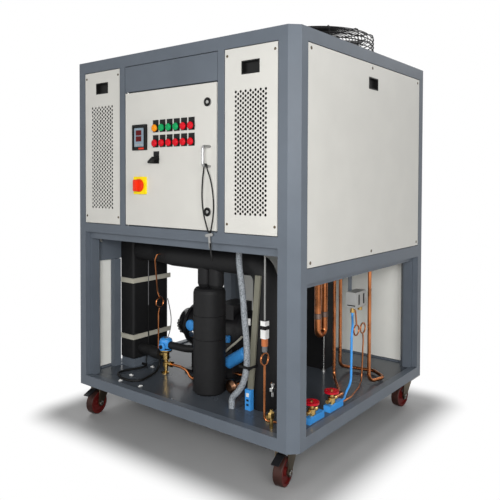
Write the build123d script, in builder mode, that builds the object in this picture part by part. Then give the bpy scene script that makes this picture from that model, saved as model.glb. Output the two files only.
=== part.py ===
"""Air-cooled oil chiller on four braked casters, with an open machine bay below the panels.

Places in the cabinet are given from its front left bottom corner: X to the right,
Y to the rear, Z up. The finished model has its origin on the floor, at the centre of its box.
"""
import os
from math import radians, tan

from build123d import *

# Cabinet
width = 1080
depth = 1000
body_height = 1300
corner_chamfer = 30
post_face = 65
lip = 11
rebate = 22
rail_depth = 40
post_corner_cut = 16
sheet = 3
panel_reveal = 1
panel_gap = 2.5

# Heights of the frame's members
base_rail_height = 40
base_rail_width = 30
floor_top = 35
front_mid_low = 625
front_mid_high = 660
front_lip_drop = 25
side_mid_low = 513
side_mid_high = 560
side_lip_drop = 18
top_rail_face = 43
header_face = 99

# Front face
mullion_face = 28
door_gap = 5
door_thickness = 16
door_skin = 2
door_return = 14
handle_reach = 40
handle_height = 66
handle_rod = 9
pull_width = 72
pull_height = 43
pull_depth = 17
pull_wall = 4

# Running clearances
pin_clearance = 0.3
shaft_clearance = 0.3

# Fans
fan_guard_radius = 230
fan_guard_height = 80
fan_ring_radius = 208
fan_ring_depth = 60
fan_blades = 5
fan_tip_gap = 8
fan_hub_radius = 62
fan_hub_height = 50
fan_shaft_radius = 8
guard_wire = 4
guard_rings = 8
guard_spokes = 8
fan_inset_x = 250

# Casters
caster_height = 122
wheel_diameter = 90
wheel_width = 32
caster_trail = 36
caster_inset = 75
rear_caster_inset = 52
caster_plate = 100
caster_plate_thickness = 5
fork_thickness = 4
fork_side_gap = 5
axle_radius = 5

# Placing of the cabinet about the origin
front_y = (handle_reach - depth) / 2
cabinet = Plane((-width / 2, front_y, caster_height))
front_face = Plane((-width / 2, front_y, caster_height), x_dir=(1, 0, 0), z_dir=(0, -1, 0))
mid_x = Plane.YZ
mid_y = Plane.XZ.offset(-(front_y + depth / 2))
LOW = (Align.MIN, Align.MIN, Align.MIN)

# Places worked out from the sizes above
post_lip = post_face + lip
front_lip_low = front_mid_low - front_lip_drop
side_lip_low = side_mid_low - side_lip_drop
deck_top = front_lip_low
deck_bottom = deck_top - sheet
roof_top = body_height + sheet
top_rail_low = body_height - top_rail_face
header_low = top_rail_low - header_face
grille_width = width / 5 - 1
mullion_left = post_face + grille_width
door_left = mullion_left + mullion_face
door_right = width - door_left
door_low = front_mid_high
door_span = door_right - door_left

parts = []


def bar(along_x, along_y, along_z, mode=Mode.ADD):
    """Add a square bar between two X, two Y and two Z places of the cabinet."""
    with Locations((along_x[0], along_y[0], along_z[0])):
        Box(
            along_x[1] - along_x[0],
            along_y[1] - along_y[0],
            along_z[1] - along_z[0],
            align=LOW,
            mode=mode,
        )


def wall_bar(side, along, inward, up, mode=Mode.ADD):
    """Add a bar on one side: along the side, inward from its face, and in height."""
    if side == "front":
        bar(along, inward, up, mode)
    elif side == "rear":
        bar(along, (depth - inward[1], depth - inward[0]), up, mode)
    elif side == "left":
        bar(inward, along, up, mode)
    else:
        bar((width - inward[1], width - inward[0]), along, up, mode)


def side_length(side):
    """Give the length of one side of the cabinet."""
    return width if side in ("front", "rear") else depth


def rail(side, face, inner):
    """Add a rail: its face between the posts, and the deeper bar behind with its lips."""
    length = side_length(side)
    wall_bar(side, (post_face, length - post_face), (0, rebate), face)
    wall_bar(side, (post_lip, length - post_lip), (rebate, rail_depth), inner)


def panel(side, along, up):
    """Add a sheet panel that lies in a rebate of the frame with an even gap all round."""
    wall_bar(
        side,
        (along[0] + panel_gap, along[1] - panel_gap),
        (panel_reveal, rebate),
        (up[0] + panel_gap, up[1] - panel_gap),
    )


def bend_radii(points, largest):
    """Give each corner of a route the radius that its two runs allow, up to a largest."""
    radii = []
    for before, corner, after in zip(points, points[1:], points[2:]):
        first = Vector(*corner) - Vector(*before)
        second = Vector(*after) - Vector(*corner)
        room = 0.45 * min(first.length, second.length) / tan(radians(first.get_angle(second)) / 2)
        radii.append(min(room, largest))
    return radii


def tube(points, diameter, largest=1000):
    """Add a round tube along straight runs that are joined by tangent arcs."""
    with BuildLine(cabinet) as route:
        FilletPolyline(*[tuple(point) for point in points], radius=bend_radii(points, largest))
    line = route.line
    with BuildSketch(Plane(origin=line @ 0, z_dir=line % 0)) as section:
        Circle(diameter / 2)
    sweep(sections=section.sketch, path=line)


def turned(centre, profile, axis=(0, 0, 1)):
    """Add a turned piece: radii and heights of its outline along an axis from its centre."""
    origin = cabinet.from_local_coords(Vector(*centre))
    across = Vector(0, 1, 0) if axis == (1, 0, 0) else Vector(1, 0, 0)
    plane = Plane(origin, x_dir=across, z_dir=across.cross(Vector(*axis)))
    with BuildSketch(plane) as section:
        with BuildLine():
            Polyline((0, profile[0][1]), *profile, (0, profile[-1][1]), close=True)
        make_face()
    revolve(section.sketch, axis=Axis(origin, Vector(*axis)))


def keep(builder, name):
    """Label a finished sub-part and list it for export."""
    builder.part.label = name
    parts.append(builder.part)


# Frame: chamfered corner posts, and rails with rebates that the panels lie in
with BuildPart() as base_tray:
    with BuildSketch(cabinet):
        Rectangle(width, depth, align=(Align.MIN, Align.MIN))
        with GridLocations(width - post_face, depth - post_face, 2, 2):
            with Locations((width / 2, depth / 2)):
                Rectangle(post_face, post_face, mode=Mode.SUBTRACT)
        with GridLocations(width - post_lip - rebate, depth - post_lip - rebate, 2, 2):
            with Locations((width / 2, depth / 2)):
                Rectangle(post_lip - rebate, post_lip - rebate, mode=Mode.SUBTRACT)
    extrude(amount=base_rail_height)
    with BuildSketch(cabinet.offset(floor_top)):
        with Locations((width / 2, depth / 2)):
            Rectangle(width - 2 * base_rail_width, depth - 2 * base_rail_width)
    extrude(amount=base_rail_height - floor_top, mode=Mode.SUBTRACT)
    with BuildSketch(cabinet):
        with Locations((width / 2, depth / 2)):
            Rectangle(width - 2 * caster_inset - caster_plate, depth - 2 * rail_depth)
    extrude(amount=floor_top - sheet, mode=Mode.SUBTRACT)
keep(base_tray, "base_tray")

with BuildPart() as corner_posts:
    with BuildSketch(cabinet):
        with BuildLine():
            Polyline(
                (corner_chamfer, 0),
                (post_face, 0),
                (post_face, rebate),
                (post_lip, rebate),
                (post_lip, post_lip - post_corner_cut),
                (post_lip - post_corner_cut, post_lip),
                (rebate, post_lip),
                (rebate, post_face),
                (0, post_face),
                (0, corner_chamfer),
                close=True,
            )
        make_face()
    extrude(amount=body_height)
    mirror(about=mid_x)
    mirror(about=mid_y)
keep(corner_posts, "corner_posts")

with BuildPart(cabinet) as frame_rails:
    for side in ("front", "rear", "left", "right"):
        rail(side, (top_rail_low, body_height), (top_rail_low - lip, body_height))
    rail("front", (front_mid_low, front_mid_high), (front_lip_low, front_mid_high + lip))
    for side in ("rear", "left", "right"):
        rail(side, (side_mid_low, side_mid_high), (side_lip_low, side_mid_high + lip))
keep(frame_rails, "frame_rails")

with BuildPart(cabinet) as front_mullions:
    for left in (mullion_left, door_right):
        bar((left, left + mullion_face), (0, rebate), (front_mid_high, top_rail_low))
        bar(
            (left - lip, left + mullion_face + lip),
            (rebate, rail_depth),
            (front_mid_high + lip, top_rail_low - lip),
        )
keep(front_mullions, "front_mullions")

with BuildPart(cabinet) as mid_deck:
    bar((rail_depth, width - rail_depth), (rebate, depth - rail_depth), (deck_bottom, deck_top))
    for left in (rail_depth, width - rail_depth - sheet):
        bar((left, left + sheet), (post_lip, depth - post_lip), (side_mid_low, deck_bottom))
    for left in (rail_depth, width - post_lip - sheet):
        for front in (rebate, depth - post_lip - sheet):
            bar(
                (left, left + post_lip - rail_depth + sheet),
                (front, front + post_lip + sheet),
                (side_mid_low, deck_top),
                Mode.SUBTRACT,
            )
keep(mid_deck, "mid_deck")

# Sheet panels, each in its rebate
grille_pull_low = top_rail_low - 89
side_pull_low = top_rail_low - 94
side_pull_centre = depth / 2 + 8
side_opening = (side_mid_high, top_rail_low)
front_opening = (front_mid_high, top_rail_low)
left_grille_centre = post_face + grille_width / 2
right_grille_centre = width - left_grille_centre
service_post_width = 34
service_panel_right = 165
pull_places = (
    ("front", left_grille_centre, grille_pull_low),
    ("front", right_grille_centre, grille_pull_low),
    ("right", side_pull_centre, side_pull_low),
    ("left", side_pull_centre, side_pull_low),
    ("rear", width / 2, side_pull_low),
)


def pull_block(side, centre, low, mode=Mode.ADD):
    """Add the block of one flush pull, or cut its hole."""
    wall_bar(
        side,
        (centre - pull_width / 2, centre + pull_width / 2),
        (0, pull_depth),
        (low, low + pull_height),
        mode,
    )


with BuildPart(cabinet) as grille_panels:
    panel("front", (post_face, mullion_left), front_opening)
    panel("front", (width - mullion_left, width - post_face), front_opening)
    for place in pull_places[:2]:
        pull_block(*place, Mode.SUBTRACT)
keep(grille_panels, "grille_panels")

with BuildPart(cabinet) as header_panel:
    panel("front", (door_left, door_right), (header_low, top_rail_low))
    bar(
        (door_left + lip, door_right - lip),
        (rebate, rail_depth),
        (header_low - lip, header_low + lip),
    )
keep(header_panel, "header_panel")

with BuildPart(cabinet) as side_panels:
    for side in ("left", "right"):
        panel(side, (post_face, depth - post_face), side_opening)
    panel("left", (post_face, service_panel_right), (base_rail_height, side_mid_low))
    for place in pull_places[2:4]:
        pull_block(*place, Mode.SUBTRACT)
keep(side_panels, "side_panels")

with BuildPart(cabinet) as rear_panels:
    panel("rear", (post_face, width - post_face), side_opening)
    panel("rear", (post_face, width - post_face), (base_rail_height, side_mid_low))
    pull_block(*pull_places[4], Mode.SUBTRACT)
keep(rear_panels, "rear_panels")

with BuildPart(cabinet) as panel_pulls:
    for side, centre, low in pull_places:
        pull_block(side, centre, low)
        wall_bar(
            side,
            (centre - pull_width / 2 + pull_wall, centre + pull_width / 2 - pull_wall),
            (0, pull_depth - pull_wall),
            (low + pull_wall, low + pull_height - pull_wall),
            Mode.SUBTRACT,
        )
keep(panel_pulls, "panel_pulls")

# Roof with two fans that blow upwards
fan_places = ((fan_inset_x, depth / 2), (width - fan_inset_x, depth / 2))
fan_names = ("left", "right")
roof_inset = 12
roof_seam = 1
with BuildPart() as roof_panel:
    with BuildSketch(cabinet.offset(body_height)):
        with Locations((width / 2, depth / 2)):
            roof = Rectangle(width - 2 * roof_inset, depth - 2 * roof_inset)
            chamfer(roof.vertices(), corner_chamfer)
            Rectangle(roof_seam, depth, mode=Mode.SUBTRACT)
        with Locations(*fan_places):
            Circle(fan_ring_radius, mode=Mode.SUBTRACT)
    extrude(amount=sheet)
keep(roof_panel, "roof_panel")

ring_flange = 4
ring_wall = 2
with BuildPart() as fan_rings:
    with BuildSketch(cabinet.offset(roof_top)):
        with Locations(*fan_places):
            Circle(fan_guard_radius + ring_flange)
            Circle(fan_ring_radius - ring_wall, mode=Mode.SUBTRACT)
    extrude(amount=ring_wall)
    with BuildSketch(cabinet.offset(roof_top)):
        with Locations(*fan_places):
            Circle(fan_ring_radius)
            Circle(fan_ring_radius - ring_wall, mode=Mode.SUBTRACT)
    extrude(amount=-fan_ring_depth)
keep(fan_rings, "fan_rings")

guard_base = roof_top + ring_wall
guard_top = body_height + fan_guard_height
guard_shoulder = 14
guard_hub_radius = 46
stator_thickness = 12
rotor_top = guard_top - guard_wire - stator_thickness - 3
rotor_low = rotor_top - fan_hub_height
guard_outer = fan_guard_radius - guard_wire / 2
with BuildPart() as guard_spoke:
    with BuildSketch(Plane.XZ.offset(-guard_wire / 2)):
        with BuildLine():
            Polyline(
                (guard_hub_radius - guard_wire, guard_top),
                (guard_outer - guard_shoulder, guard_top),
                (guard_outer, guard_top - guard_shoulder),
                (guard_outer, guard_base),
                (guard_outer - guard_wire, guard_base),
                (guard_outer - guard_wire, guard_top - guard_shoulder - guard_wire / 2),
                (guard_outer - guard_shoulder - guard_wire / 2, guard_top - guard_wire),
                (guard_hub_radius - guard_wire, guard_top - guard_wire),
                close=True,
            )
        make_face()
    extrude(amount=guard_wire)

with BuildPart() as fan_guards:
    ring_step = (fan_guard_radius - guard_shoulder - guard_hub_radius) / (guard_rings - 1)
    with BuildSketch(cabinet.offset(guard_top - guard_wire)):
        with Locations(fan_places[0]):
            for count in reversed(range(guard_rings)):
                Circle(guard_hub_radius + count * ring_step)
                Circle(guard_hub_radius + count * ring_step - guard_wire, mode=Mode.SUBTRACT)
            Circle(guard_hub_radius)
    extrude(amount=guard_wire)
    side_rings = (guard_base, (guard_base + guard_top) / 2, guard_top - guard_shoulder - guard_wire)
    for height in side_rings:
        with BuildSketch(cabinet.offset(height)):
            with Locations(fan_places[0]):
                Circle(fan_guard_radius)
                Circle(fan_guard_radius - guard_wire, mode=Mode.SUBTRACT)
        extrude(amount=guard_wire)
    with BuildSketch(cabinet.offset(guard_top - guard_wire)):
        with Locations(fan_places[0]):
            Circle(guard_hub_radius)
    extrude(amount=-stator_thickness)
    with BuildSketch(cabinet.offset(rotor_low + fan_hub_height / 3)):
        with Locations(fan_places[0]):
            Circle(fan_shaft_radius)
    extrude(amount=rotor_top + guard_wire - rotor_low)
    with Locations(cabinet.from_local_coords(Vector(*fan_places[0], 0))):
        with PolarLocations(0, guard_spokes, 180 / guard_spokes):
            add(guard_spoke.part)
    mirror(about=mid_x)
keep(fan_guards, "fan_guards")

blade_chord_root = 100
blade_chord_tip = 130
blade_pitch_root = 38
blade_pitch_tip = 24
blade_thickness = 4
for name, place in zip(fan_names, fan_places):
    blade_height = rotor_low + fan_hub_height / 2
    centre = cabinet.from_local_coords(Vector(*place, blade_height))
    blade_tip = fan_ring_radius - ring_wall - fan_tip_gap
    with BuildPart() as fan_rotor:
        with BuildSketch(Plane(centre).offset(-fan_hub_height / 2)):
            Circle(fan_hub_radius)
        extrude(amount=fan_hub_height)
        edges = fan_rotor.edges().filter_by(GeomType.CIRCLE).sort_by(Axis.Z)
        fillet(edges[0], fan_hub_height / 4)
        for count in range(fan_blades):
            turn = count * 360 / fan_blades
            outward = Vector(1, 0, 0).rotate(Axis.Z, turn)
            across = Vector(0, 1, 0).rotate(Axis.Z, turn)
            root = Plane(centre + outward * (fan_hub_radius - 8), x_dir=across, z_dir=outward)
            tip = Plane(centre + outward * (blade_tip - 6), x_dir=across, z_dir=outward)
            with BuildSketch(root):
                Rectangle(blade_chord_root / 2, blade_thickness, rotation=blade_pitch_root)
            with BuildSketch(tip):
                Rectangle(blade_chord_tip, blade_thickness, rotation=blade_pitch_tip)
            loft()
        with BuildSketch(Plane(centre).offset(fan_hub_height / 2)):
            Circle(fan_shaft_radius + shaft_clearance)
        extrude(amount=-fan_hub_height * 5 / 6, mode=Mode.SUBTRACT)
    keep(fan_rotor, f"fan_rotor_{name}")

# Condenser coils behind the grilles
coil_thickness = 44
coil_front = 60
coil_inset = 6
with BuildPart(cabinet) as condenser_coils:
    for left in (post_lip + coil_inset, door_right + coil_inset):
        bar(
            (left, left + mullion_left - post_lip - 2 * coil_inset),
            (coil_front, coil_front + coil_thickness),
            (deck_top, top_rail_low - lip),
        )
keep(condenser_coils, "condenser_coils")

# Control cubicle, open at the front behind its door
cubicle_depth = 200
cubicle_margin = 20
cubicle_wall = 2
cubicle_x = (door_left - lip / 2, door_right + lip / 2)
cubicle_z = (door_low - lip / 2, header_low + lip / 2)
with BuildPart(cabinet) as control_cubicle:
    bar(cubicle_x, (rail_depth, rail_depth + cubicle_depth), cubicle_z)
    bar(
        (cubicle_x[0] + cubicle_wall, cubicle_x[1] - cubicle_wall),
        (rail_depth, rail_depth + cubicle_depth - cubicle_wall),
        (cubicle_z[0] + cubicle_wall, cubicle_z[1] - cubicle_wall),
        Mode.SUBTRACT,
    )
keep(control_cubicle, "control_cubicle")

rail_count = 3
din_rail = 35
plate_back = rail_depth + cubicle_depth - cubicle_wall
with BuildPart(cabinet) as mounting_plate:
    bar(
        (cubicle_x[0] + cubicle_margin, cubicle_x[1] - cubicle_margin),
        (plate_back - sheet, plate_back),
        (cubicle_z[0] + cubicle_margin, cubicle_z[1] - cubicle_margin),
    )
    rail_pitch = (cubicle_z[1] - cubicle_z[0]) / (rail_count + 1)
    for count in range(1, rail_count + 1):
        height = cubicle_z[0] + count * rail_pitch
        bar(
            (cubicle_x[0] + 2 * cubicle_margin, cubicle_x[1] - 2 * cubicle_margin),
            (plate_back - sheet - 7, plate_back - sheet),
            (height - din_rail / 2, height + din_rail / 2),
        )
keep(mounting_plate, "mounting_plate")

# Door, hung on two pins near its left edge
hinge_inset = 6
hinge_radius = 3
hinge_length = 12
door_x = (door_left + door_gap, door_right - door_gap)
door_z = (door_low + door_gap, header_low + panel_gap - door_gap)
door_y = (0, door_thickness)
hinge_x = door_x[0] + hinge_inset
controller_size = (76, 94)
controller_place = (door_left + 87, header_low - 169)
controller_depth = 60
lamp_radius = 15
lamp_pitch = door_span * 0.0763
lamp_columns = 6
lamp_left = door_left + 0.366 * door_span
lamp_rows = (header_low - 139, header_low - 193)
lamp_body_radius = 11
selector_place = (lamp_left + 3, header_low - 251)
isolator_place = (door_left + 90, header_low - 345)
isolator_size = 64
handle_place = (door_right - 34, header_low - 246)
lock_places = ((door_right - 43, header_low - 65), (door_right - 43, door_low + 67))
lock_radius = 15
lamp_places = [
    (lamp_left + lamp_pitch * column, row) for row in lamp_rows for column in range(lamp_columns)
]

with BuildPart(cabinet) as control_door:
    bar(door_x, door_y, door_z)
    bar(
        (door_x[0] + door_return, door_x[1] - door_return),
        (door_skin, door_thickness),
        (door_z[0] + door_return, door_z[1] - door_return),
        Mode.SUBTRACT,
    )
    with BuildSketch(front_face):
        with Locations(*lamp_places, selector_place, isolator_place):
            Circle(lamp_body_radius)
        with Locations(controller_place):
            Rectangle(controller_size[0] - 8, controller_size[1] - 8)
        with Locations(*lock_places):
            Circle(lock_radius - 3)
    extrude(amount=-door_thickness, mode=Mode.SUBTRACT)
    socket_depth = hinge_length - door_gap + 1
    for height, depth_up in ((door_z[0], socket_depth), (door_z[1], -socket_depth)):
        with BuildSketch(cabinet.offset(height)):
            with Locations((hinge_x, hinge_inset + 2)):
                Circle(hinge_radius + pin_clearance)
        extrude(amount=depth_up, mode=Mode.SUBTRACT)
keep(control_door, "control_door")

with BuildPart() as door_pivots:
    for height, length in ((door_low, hinge_length), (header_low + panel_gap, -hinge_length)):
        with BuildSketch(cabinet.offset(height)):
            with Locations((hinge_x, hinge_inset + 2)):
                Circle(hinge_radius)
        extrude(amount=length)
keep(door_pivots, "door_pivots")

lock_stand = 4
with BuildPart() as door_fittings:
    for place in lock_places:
        with BuildSketch(front_face):
            with Locations(place):
                Circle(lock_radius)
        extrude(amount=lock_stand)
        with BuildSketch(front_face):
            with Locations(place):
                Circle(lock_radius - 3 - pin_clearance)
        extrude(amount=-door_thickness - 4)
        with BuildSketch(front_face.offset(lock_stand)):
            with Locations(place):
                Circle(lock_radius - 6)
        extrude(amount=-10, mode=Mode.SUBTRACT)
        with BuildSketch(front_face.offset(-6)):
            with Locations(place):
                Circle(lock_radius - 10)
        extrude(amount=9)
    grip = [
        (handle_place[0], 0, handle_place[1] + handle_height / 2),
        (handle_place[0], handle_rod / 2 - handle_reach, handle_place[1] + handle_height / 2),
        (handle_place[0], handle_rod / 2 - handle_reach, handle_place[1] - handle_height / 2),
        (handle_place[0], 0, handle_place[1] - handle_height / 2),
    ]
    tube(grip, handle_rod, 10)
keep(door_fittings, "door_fittings")

bezel_stand = 7
with BuildPart() as temperature_controller:
    with BuildSketch(front_face):
        with Locations(controller_place):
            RectangleRounded(*controller_size, 3)
    extrude(amount=bezel_stand)
    with BuildSketch(front_face.offset(bezel_stand)):
        with Locations(controller_place):
            Rectangle(controller_size[0] - 12, controller_size[1] - 12)
    extrude(amount=-2, mode=Mode.SUBTRACT)
    with BuildSketch(front_face):
        with Locations(controller_place):
            Rectangle(controller_size[0] - 8.4, controller_size[1] - 8.4)
    extrude(amount=-controller_depth)
keep(temperature_controller, "temperature_controller")

legend_width = 28
legend_above = 29
lamp_stand = 5
lamp_body_depth = 38
with BuildPart() as pilot_lamps:
    with BuildSketch(front_face):
        for place in (*lamp_places, selector_place):
            with Locations((place[0], place[1] + (legend_above - lamp_radius) / 2)):
                Rectangle(legend_width, legend_above + lamp_radius)
    extrude(amount=1.5)
    with BuildSketch(front_face):
        with Locations(*lamp_places, selector_place):
            Circle(lamp_radius)
    extrude(amount=lamp_stand)
    with BuildSketch(front_face):
        with Locations(*lamp_places, selector_place):
            Circle(lamp_body_radius - pin_clearance)
    extrude(amount=-lamp_body_depth)
keep(pilot_lamps, "pilot_lamps")

lens_radius = 11
lens_stand = 13
with BuildPart() as pilot_lenses:
    with BuildSketch(front_face.offset(lamp_stand)):
        with Locations(*lamp_places):
            Circle(lens_radius)
    extrude(amount=lens_stand - lamp_stand)
    chamfer(pilot_lenses.edges().filter_by(GeomType.CIRCLE).group_by(Axis.Y)[0], 2)
keep(pilot_lenses, "pilot_lenses")

knob_stand = 30
with BuildPart() as selector_knob:
    with BuildSketch(front_face.offset(lamp_stand + shaft_clearance)):
        with Locations(selector_place):
            Circle(lens_radius)
    extrude(amount=6)
    with BuildSketch(front_face.offset(lamp_stand + shaft_clearance)):
        with Locations(Location((selector_place[0], selector_place[1] - 3), 35)):
            SlotOverall(34, 10)
    extrude(amount=knob_stand - lamp_stand)
keep(selector_knob, "selector_knob")

isolator_plate_stand = 8
isolator_handle_stand = 34
with BuildPart() as isolator_plate:
    with BuildSketch(front_face):
        with Locations(isolator_place):
            RectangleRounded(isolator_size, isolator_size, 4)
    extrude(amount=isolator_plate_stand)
    with BuildSketch(front_face):
        with Locations(isolator_place):
            Circle(lamp_body_radius - pin_clearance)
    extrude(amount=-lamp_body_depth)
keep(isolator_plate, "isolator_plate")

handle_disc_radius = 24
with BuildPart() as isolator_handle:
    with BuildSketch(front_face.offset(isolator_plate_stand + shaft_clearance)):
        with Locations(isolator_place):
            Circle(handle_disc_radius)
    extrude(amount=10, taper=8)
    with BuildSketch(front_face.offset(isolator_plate_stand + shaft_clearance)):
        with Locations(isolator_place):
            SlotOverall(2 * handle_disc_radius - 2, 15, rotation=90)
    extrude(amount=isolator_handle_stand - isolator_plate_stand, taper=4)
keep(isolator_handle, "isolator_handle")

# Key on its cord, hung on the door handle
cord_diameter = 5
cord_side = (handle_rod + cord_diameter) / 2 + pin_clearance
cord_low = handle_place[1] - handle_height / 2
cord_front = -22
lanyard_shape = [
    (29, 6, -105.5),
    (28, 5, -82),
    (19, 2, -37),
    (cord_side, 0, -11),
    (cord_side, 0, cord_side),
    (-cord_side, 0, cord_side),
    (-cord_side, 0, -11),
    (-14, 2, -37),
    (-20, 5, -79),
    (-22, 8, -124),
    (-17, 12, -167),
    (-8, 15, -200),
    (-3, 17, -219),
    (8, 17, -221),
    (13, 15, -204),
    (23, 12, -171),
    (30, 8, -129),
    (29, 6, -105.8),
]
lanyard_points = [
    (handle_place[0] + across, cord_front + back, cord_low + up) for across, back, up in lanyard_shape
]
with BuildPart() as key_lanyard:
    tube(lanyard_points, cord_diameter)
keep(key_lanyard, "key_lanyard")
print("lanyard radii", [round(r, 1) for r in bend_radii(lanyard_points, 1000)])

key_place = (handle_place[0] + 2.5, cord_front + 17, cord_low - 228.7)
key_radius = 9
key_length = 44
with BuildPart() as panel_key:
    with BuildSketch(front_face.offset(-key_place[1] - 2)):
        with Locations((key_place[0], key_place[2])):
            SlotOverall(34, 10, rotation=12)
        with Locations((key_place[0] + 2, key_place[2] - key_length / 2)):
            Rectangle(9, key_length, rotation=8)
    extrude(amount=4)
keep(panel_key, "panel_key")

# Plate heat exchangers in their insulation
evaporator_x = (44, 130)
evaporator_y = (194, 398)
evaporator_low = 70
insulation_round = 12
exchanger_x = (width / 2 + 40, width / 2 + 240)
exchanger_y = (675, 772)
with BuildPart(cabinet) as evaporator:
    bar(evaporator_x, evaporator_y, (evaporator_low, deck_bottom))
    fillet(evaporator.edges().filter_by(Axis.Z), insulation_round)
    fillet(evaporator.faces().sort_by(Axis.Z)[0].edges(), insulation_round / 2)
keep(evaporator, "evaporator")

with BuildPart(cabinet) as second_exchanger:
    bar(exchanger_x, exchanger_y, (floor_top, deck_bottom))
    fillet(second_exchanger.edges().filter_by(Axis.Z), insulation_round)
keep(second_exchanger, "second_exchanger")

strap_heights = (164, 405)
strap_width = 20
strap_thickness = 4
post_inward = (30, 54)
post_y = (evaporator_y[0] - strap_thickness - service_post_width, evaporator_y[0] - strap_thickness)
with BuildPart(cabinet) as evaporator_straps:
    for height in strap_heights:
        bar(
            (post_inward[0], evaporator_x[1] + strap_thickness),
            (evaporator_y[0] - strap_thickness, evaporator_y[0]),
            (height - strap_width / 2, height + strap_width / 2),
        )
        bar(
            (evaporator_x[1], evaporator_x[1] + strap_thickness),
            (evaporator_y[0] - strap_thickness, evaporator_y[1] + strap_width / 2),
            (height - strap_width / 2, height + strap_width / 2),
        )
keep(evaporator_straps, "evaporator_straps")

stand_flange = 14
with BuildPart(cabinet) as evaporator_stand:
    bar(post_inward, post_y, (floor_top, side_lip_low))
    bar(
        (post_inward[0], evaporator_x[1] + stand_flange),
        (post_y[1] + 2, evaporator_y[1]),
        (floor_top, floor_top + sheet),
    )
    bar(
        (evaporator_x[0] + 10, evaporator_x[1] + 4),
        (evaporator_y[0] + 2, evaporator_y[1] - 10),
        (floor_top, evaporator_low),
    )
keep(evaporator_stand, "evaporator_stand")

port_radius = 24
port_bore = 16.6
port_length = 30
port_bore_depth = 28
port_y = 296
port_heights = (130, 430)
with BuildPart(cabinet) as oil_ports:
    port_plane = Plane(
        cabinet.from_local_coords(Vector(evaporator_x[0], port_y, 0)), x_dir=(0, 1, 0), z_dir=(1, 0, 0)
    )
    with BuildSketch(port_plane):
        for height in port_heights:
            with Locations((0, height)):
                RegularPolygon(port_radius, 6)
    extrude(amount=-port_length / 2)
    with BuildSketch(port_plane):
        for height in port_heights:
            with Locations((0, height)):
                Circle(port_radius * 0.84)
    extrude(amount=-port_length)
    with BuildSketch(port_plane.offset(-port_length)):
        for height in port_heights:
            with Locations((0, height)):
                Circle(port_bore)
    extrude(amount=port_bore_depth, mode=Mode.SUBTRACT)
keep(oil_ports, "oil_ports")

# Refrigerant vessels and insulated lines
accumulator_place = (width / 2 + 31, 185)
accumulator_radius = 61
accumulator_top = 430
header_radius = 44
header_clearance = 16
header_height = deck_bottom - header_radius - header_clearance
header_y = 192
header_start_y = 240
stub_radius = 28.5
stub_offsets = (-28, 28)
with BuildPart(cabinet) as suction_accumulator:
    turned(
        (*accumulator_place, 0),
        [
            (accumulator_radius - 6, floor_top),
            (accumulator_radius, floor_top + 8),
            (accumulator_radius, 240),
            (accumulator_radius - 2, 241),
            (accumulator_radius, 242),
            (accumulator_radius, 328),
            (accumulator_radius - 2, 329),
            (accumulator_radius, 330),
            (accumulator_radius, accumulator_top - 18),
            (accumulator_radius - 3, accumulator_top - 7),
            (accumulator_radius - 9, accumulator_top),
        ],
    )
keep(suction_accumulator, "suction_accumulator")

valve_place = (290, 230)
valve_line_height = 157
valve_radius = 26
valve_reach = 30
inlet_height = 110
down_pipe_x = width - 252
compressor_y = 400
compressor_height = 215
compressor_x = (width / 2 - 240, width / 2 + 70)
crankcase_depth = 160
crankcase_x = (compressor_x[0] + 100, compressor_x[0] + 270)
with BuildPart() as insulated_pipes:
    tube(
        [
            (evaporator_x[1], header_start_y, header_height),
            (evaporator_x[1] + 120, header_start_y, header_height),
            (evaporator_x[1] + 250, header_y, header_height),
            (down_pipe_x, header_y, header_height),
            (down_pipe_x, header_y, floor_top),
        ],
        2 * header_radius,
        60,
    )
    tube(
        [
            (down_pipe_x, header_y, compressor_height),
            (down_pipe_x, compressor_y, compressor_height),
            (compressor_x[1], compressor_y, compressor_height),
        ],
        1.8 * header_radius,
        60,
    )
    for offset in stub_offsets:
        turned(
            (accumulator_place[0] + offset, header_y, 0),
            [
                (stub_radius - 5, accumulator_top),
                (stub_radius, accumulator_top + 12),
                (stub_radius, header_height),
            ],
        )
    tube(
        [
            (evaporator_x[1], 240, inlet_height),
            (190, 240, inlet_height),
            (225, valve_place[1], inlet_height),
            (valve_place[0] - valve_reach, valve_place[1], inlet_height),
        ],
        46,
        60,
    )
    tube(
        [
            (valve_place[0] + valve_radius + pin_clearance, valve_place[1], valve_line_height),
            (crankcase_x[0] + 5, valve_place[1], valve_line_height),
            (crankcase_x[0] + 52, 262, valve_line_height),
            (crankcase_x[0] + 52, compressor_y - crankcase_depth / 2, valve_line_height),
        ],
        30,
        60,
    )
keep(insulated_pipes, "insulated_pipes")

# Compressor lying along the cabinet behind the accumulator
compressor_radius = 92
with BuildPart(cabinet) as compressor:
    turned(
        (0, compressor_y, compressor_height),
        [
            (46, compressor_x[0] - 60),
            (58, compressor_x[0] - 48),
            (58, compressor_x[0] - 30),
            (72, compressor_x[0]),
            (compressor_radius, compressor_x[0] + 12),
            (compressor_radius, compressor_x[0] + 26),
            (compressor_radius - 8, compressor_x[0] + 26),
            (compressor_radius - 8, compressor_x[1] - 40),
            (compressor_radius, compressor_x[1] - 40),
            (compressor_radius, compressor_x[1] - 20),
            (70, compressor_x[1]),
        ],
        (1, 0, 0),
    )
    bar(
        (crankcase_x[0] + 70, crankcase_x[0] + 160),
        (compressor_y - 60, compressor_y + 60),
        (compressor_height, compressor_height + 118),
    )
    bar(
        crankcase_x,
        (compressor_y - crankcase_depth / 2, compressor_y + crankcase_depth / 2),
        (floor_top + 12, compressor_height),
    )
    for left in (compressor_x[0] + 30, compressor_x[1] - 70):
        bar((left, left + 40), (compressor_y - 100, compressor_y + 100), (floor_top, floor_top + 12))
    bar(
        (compressor_x[0] + 40, compressor_x[0] + 60),
        (compressor_y - 70, compressor_y + 70),
        (floor_top + 12, compressor_height - 50),
    )
keep(compressor, "compressor")

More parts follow.
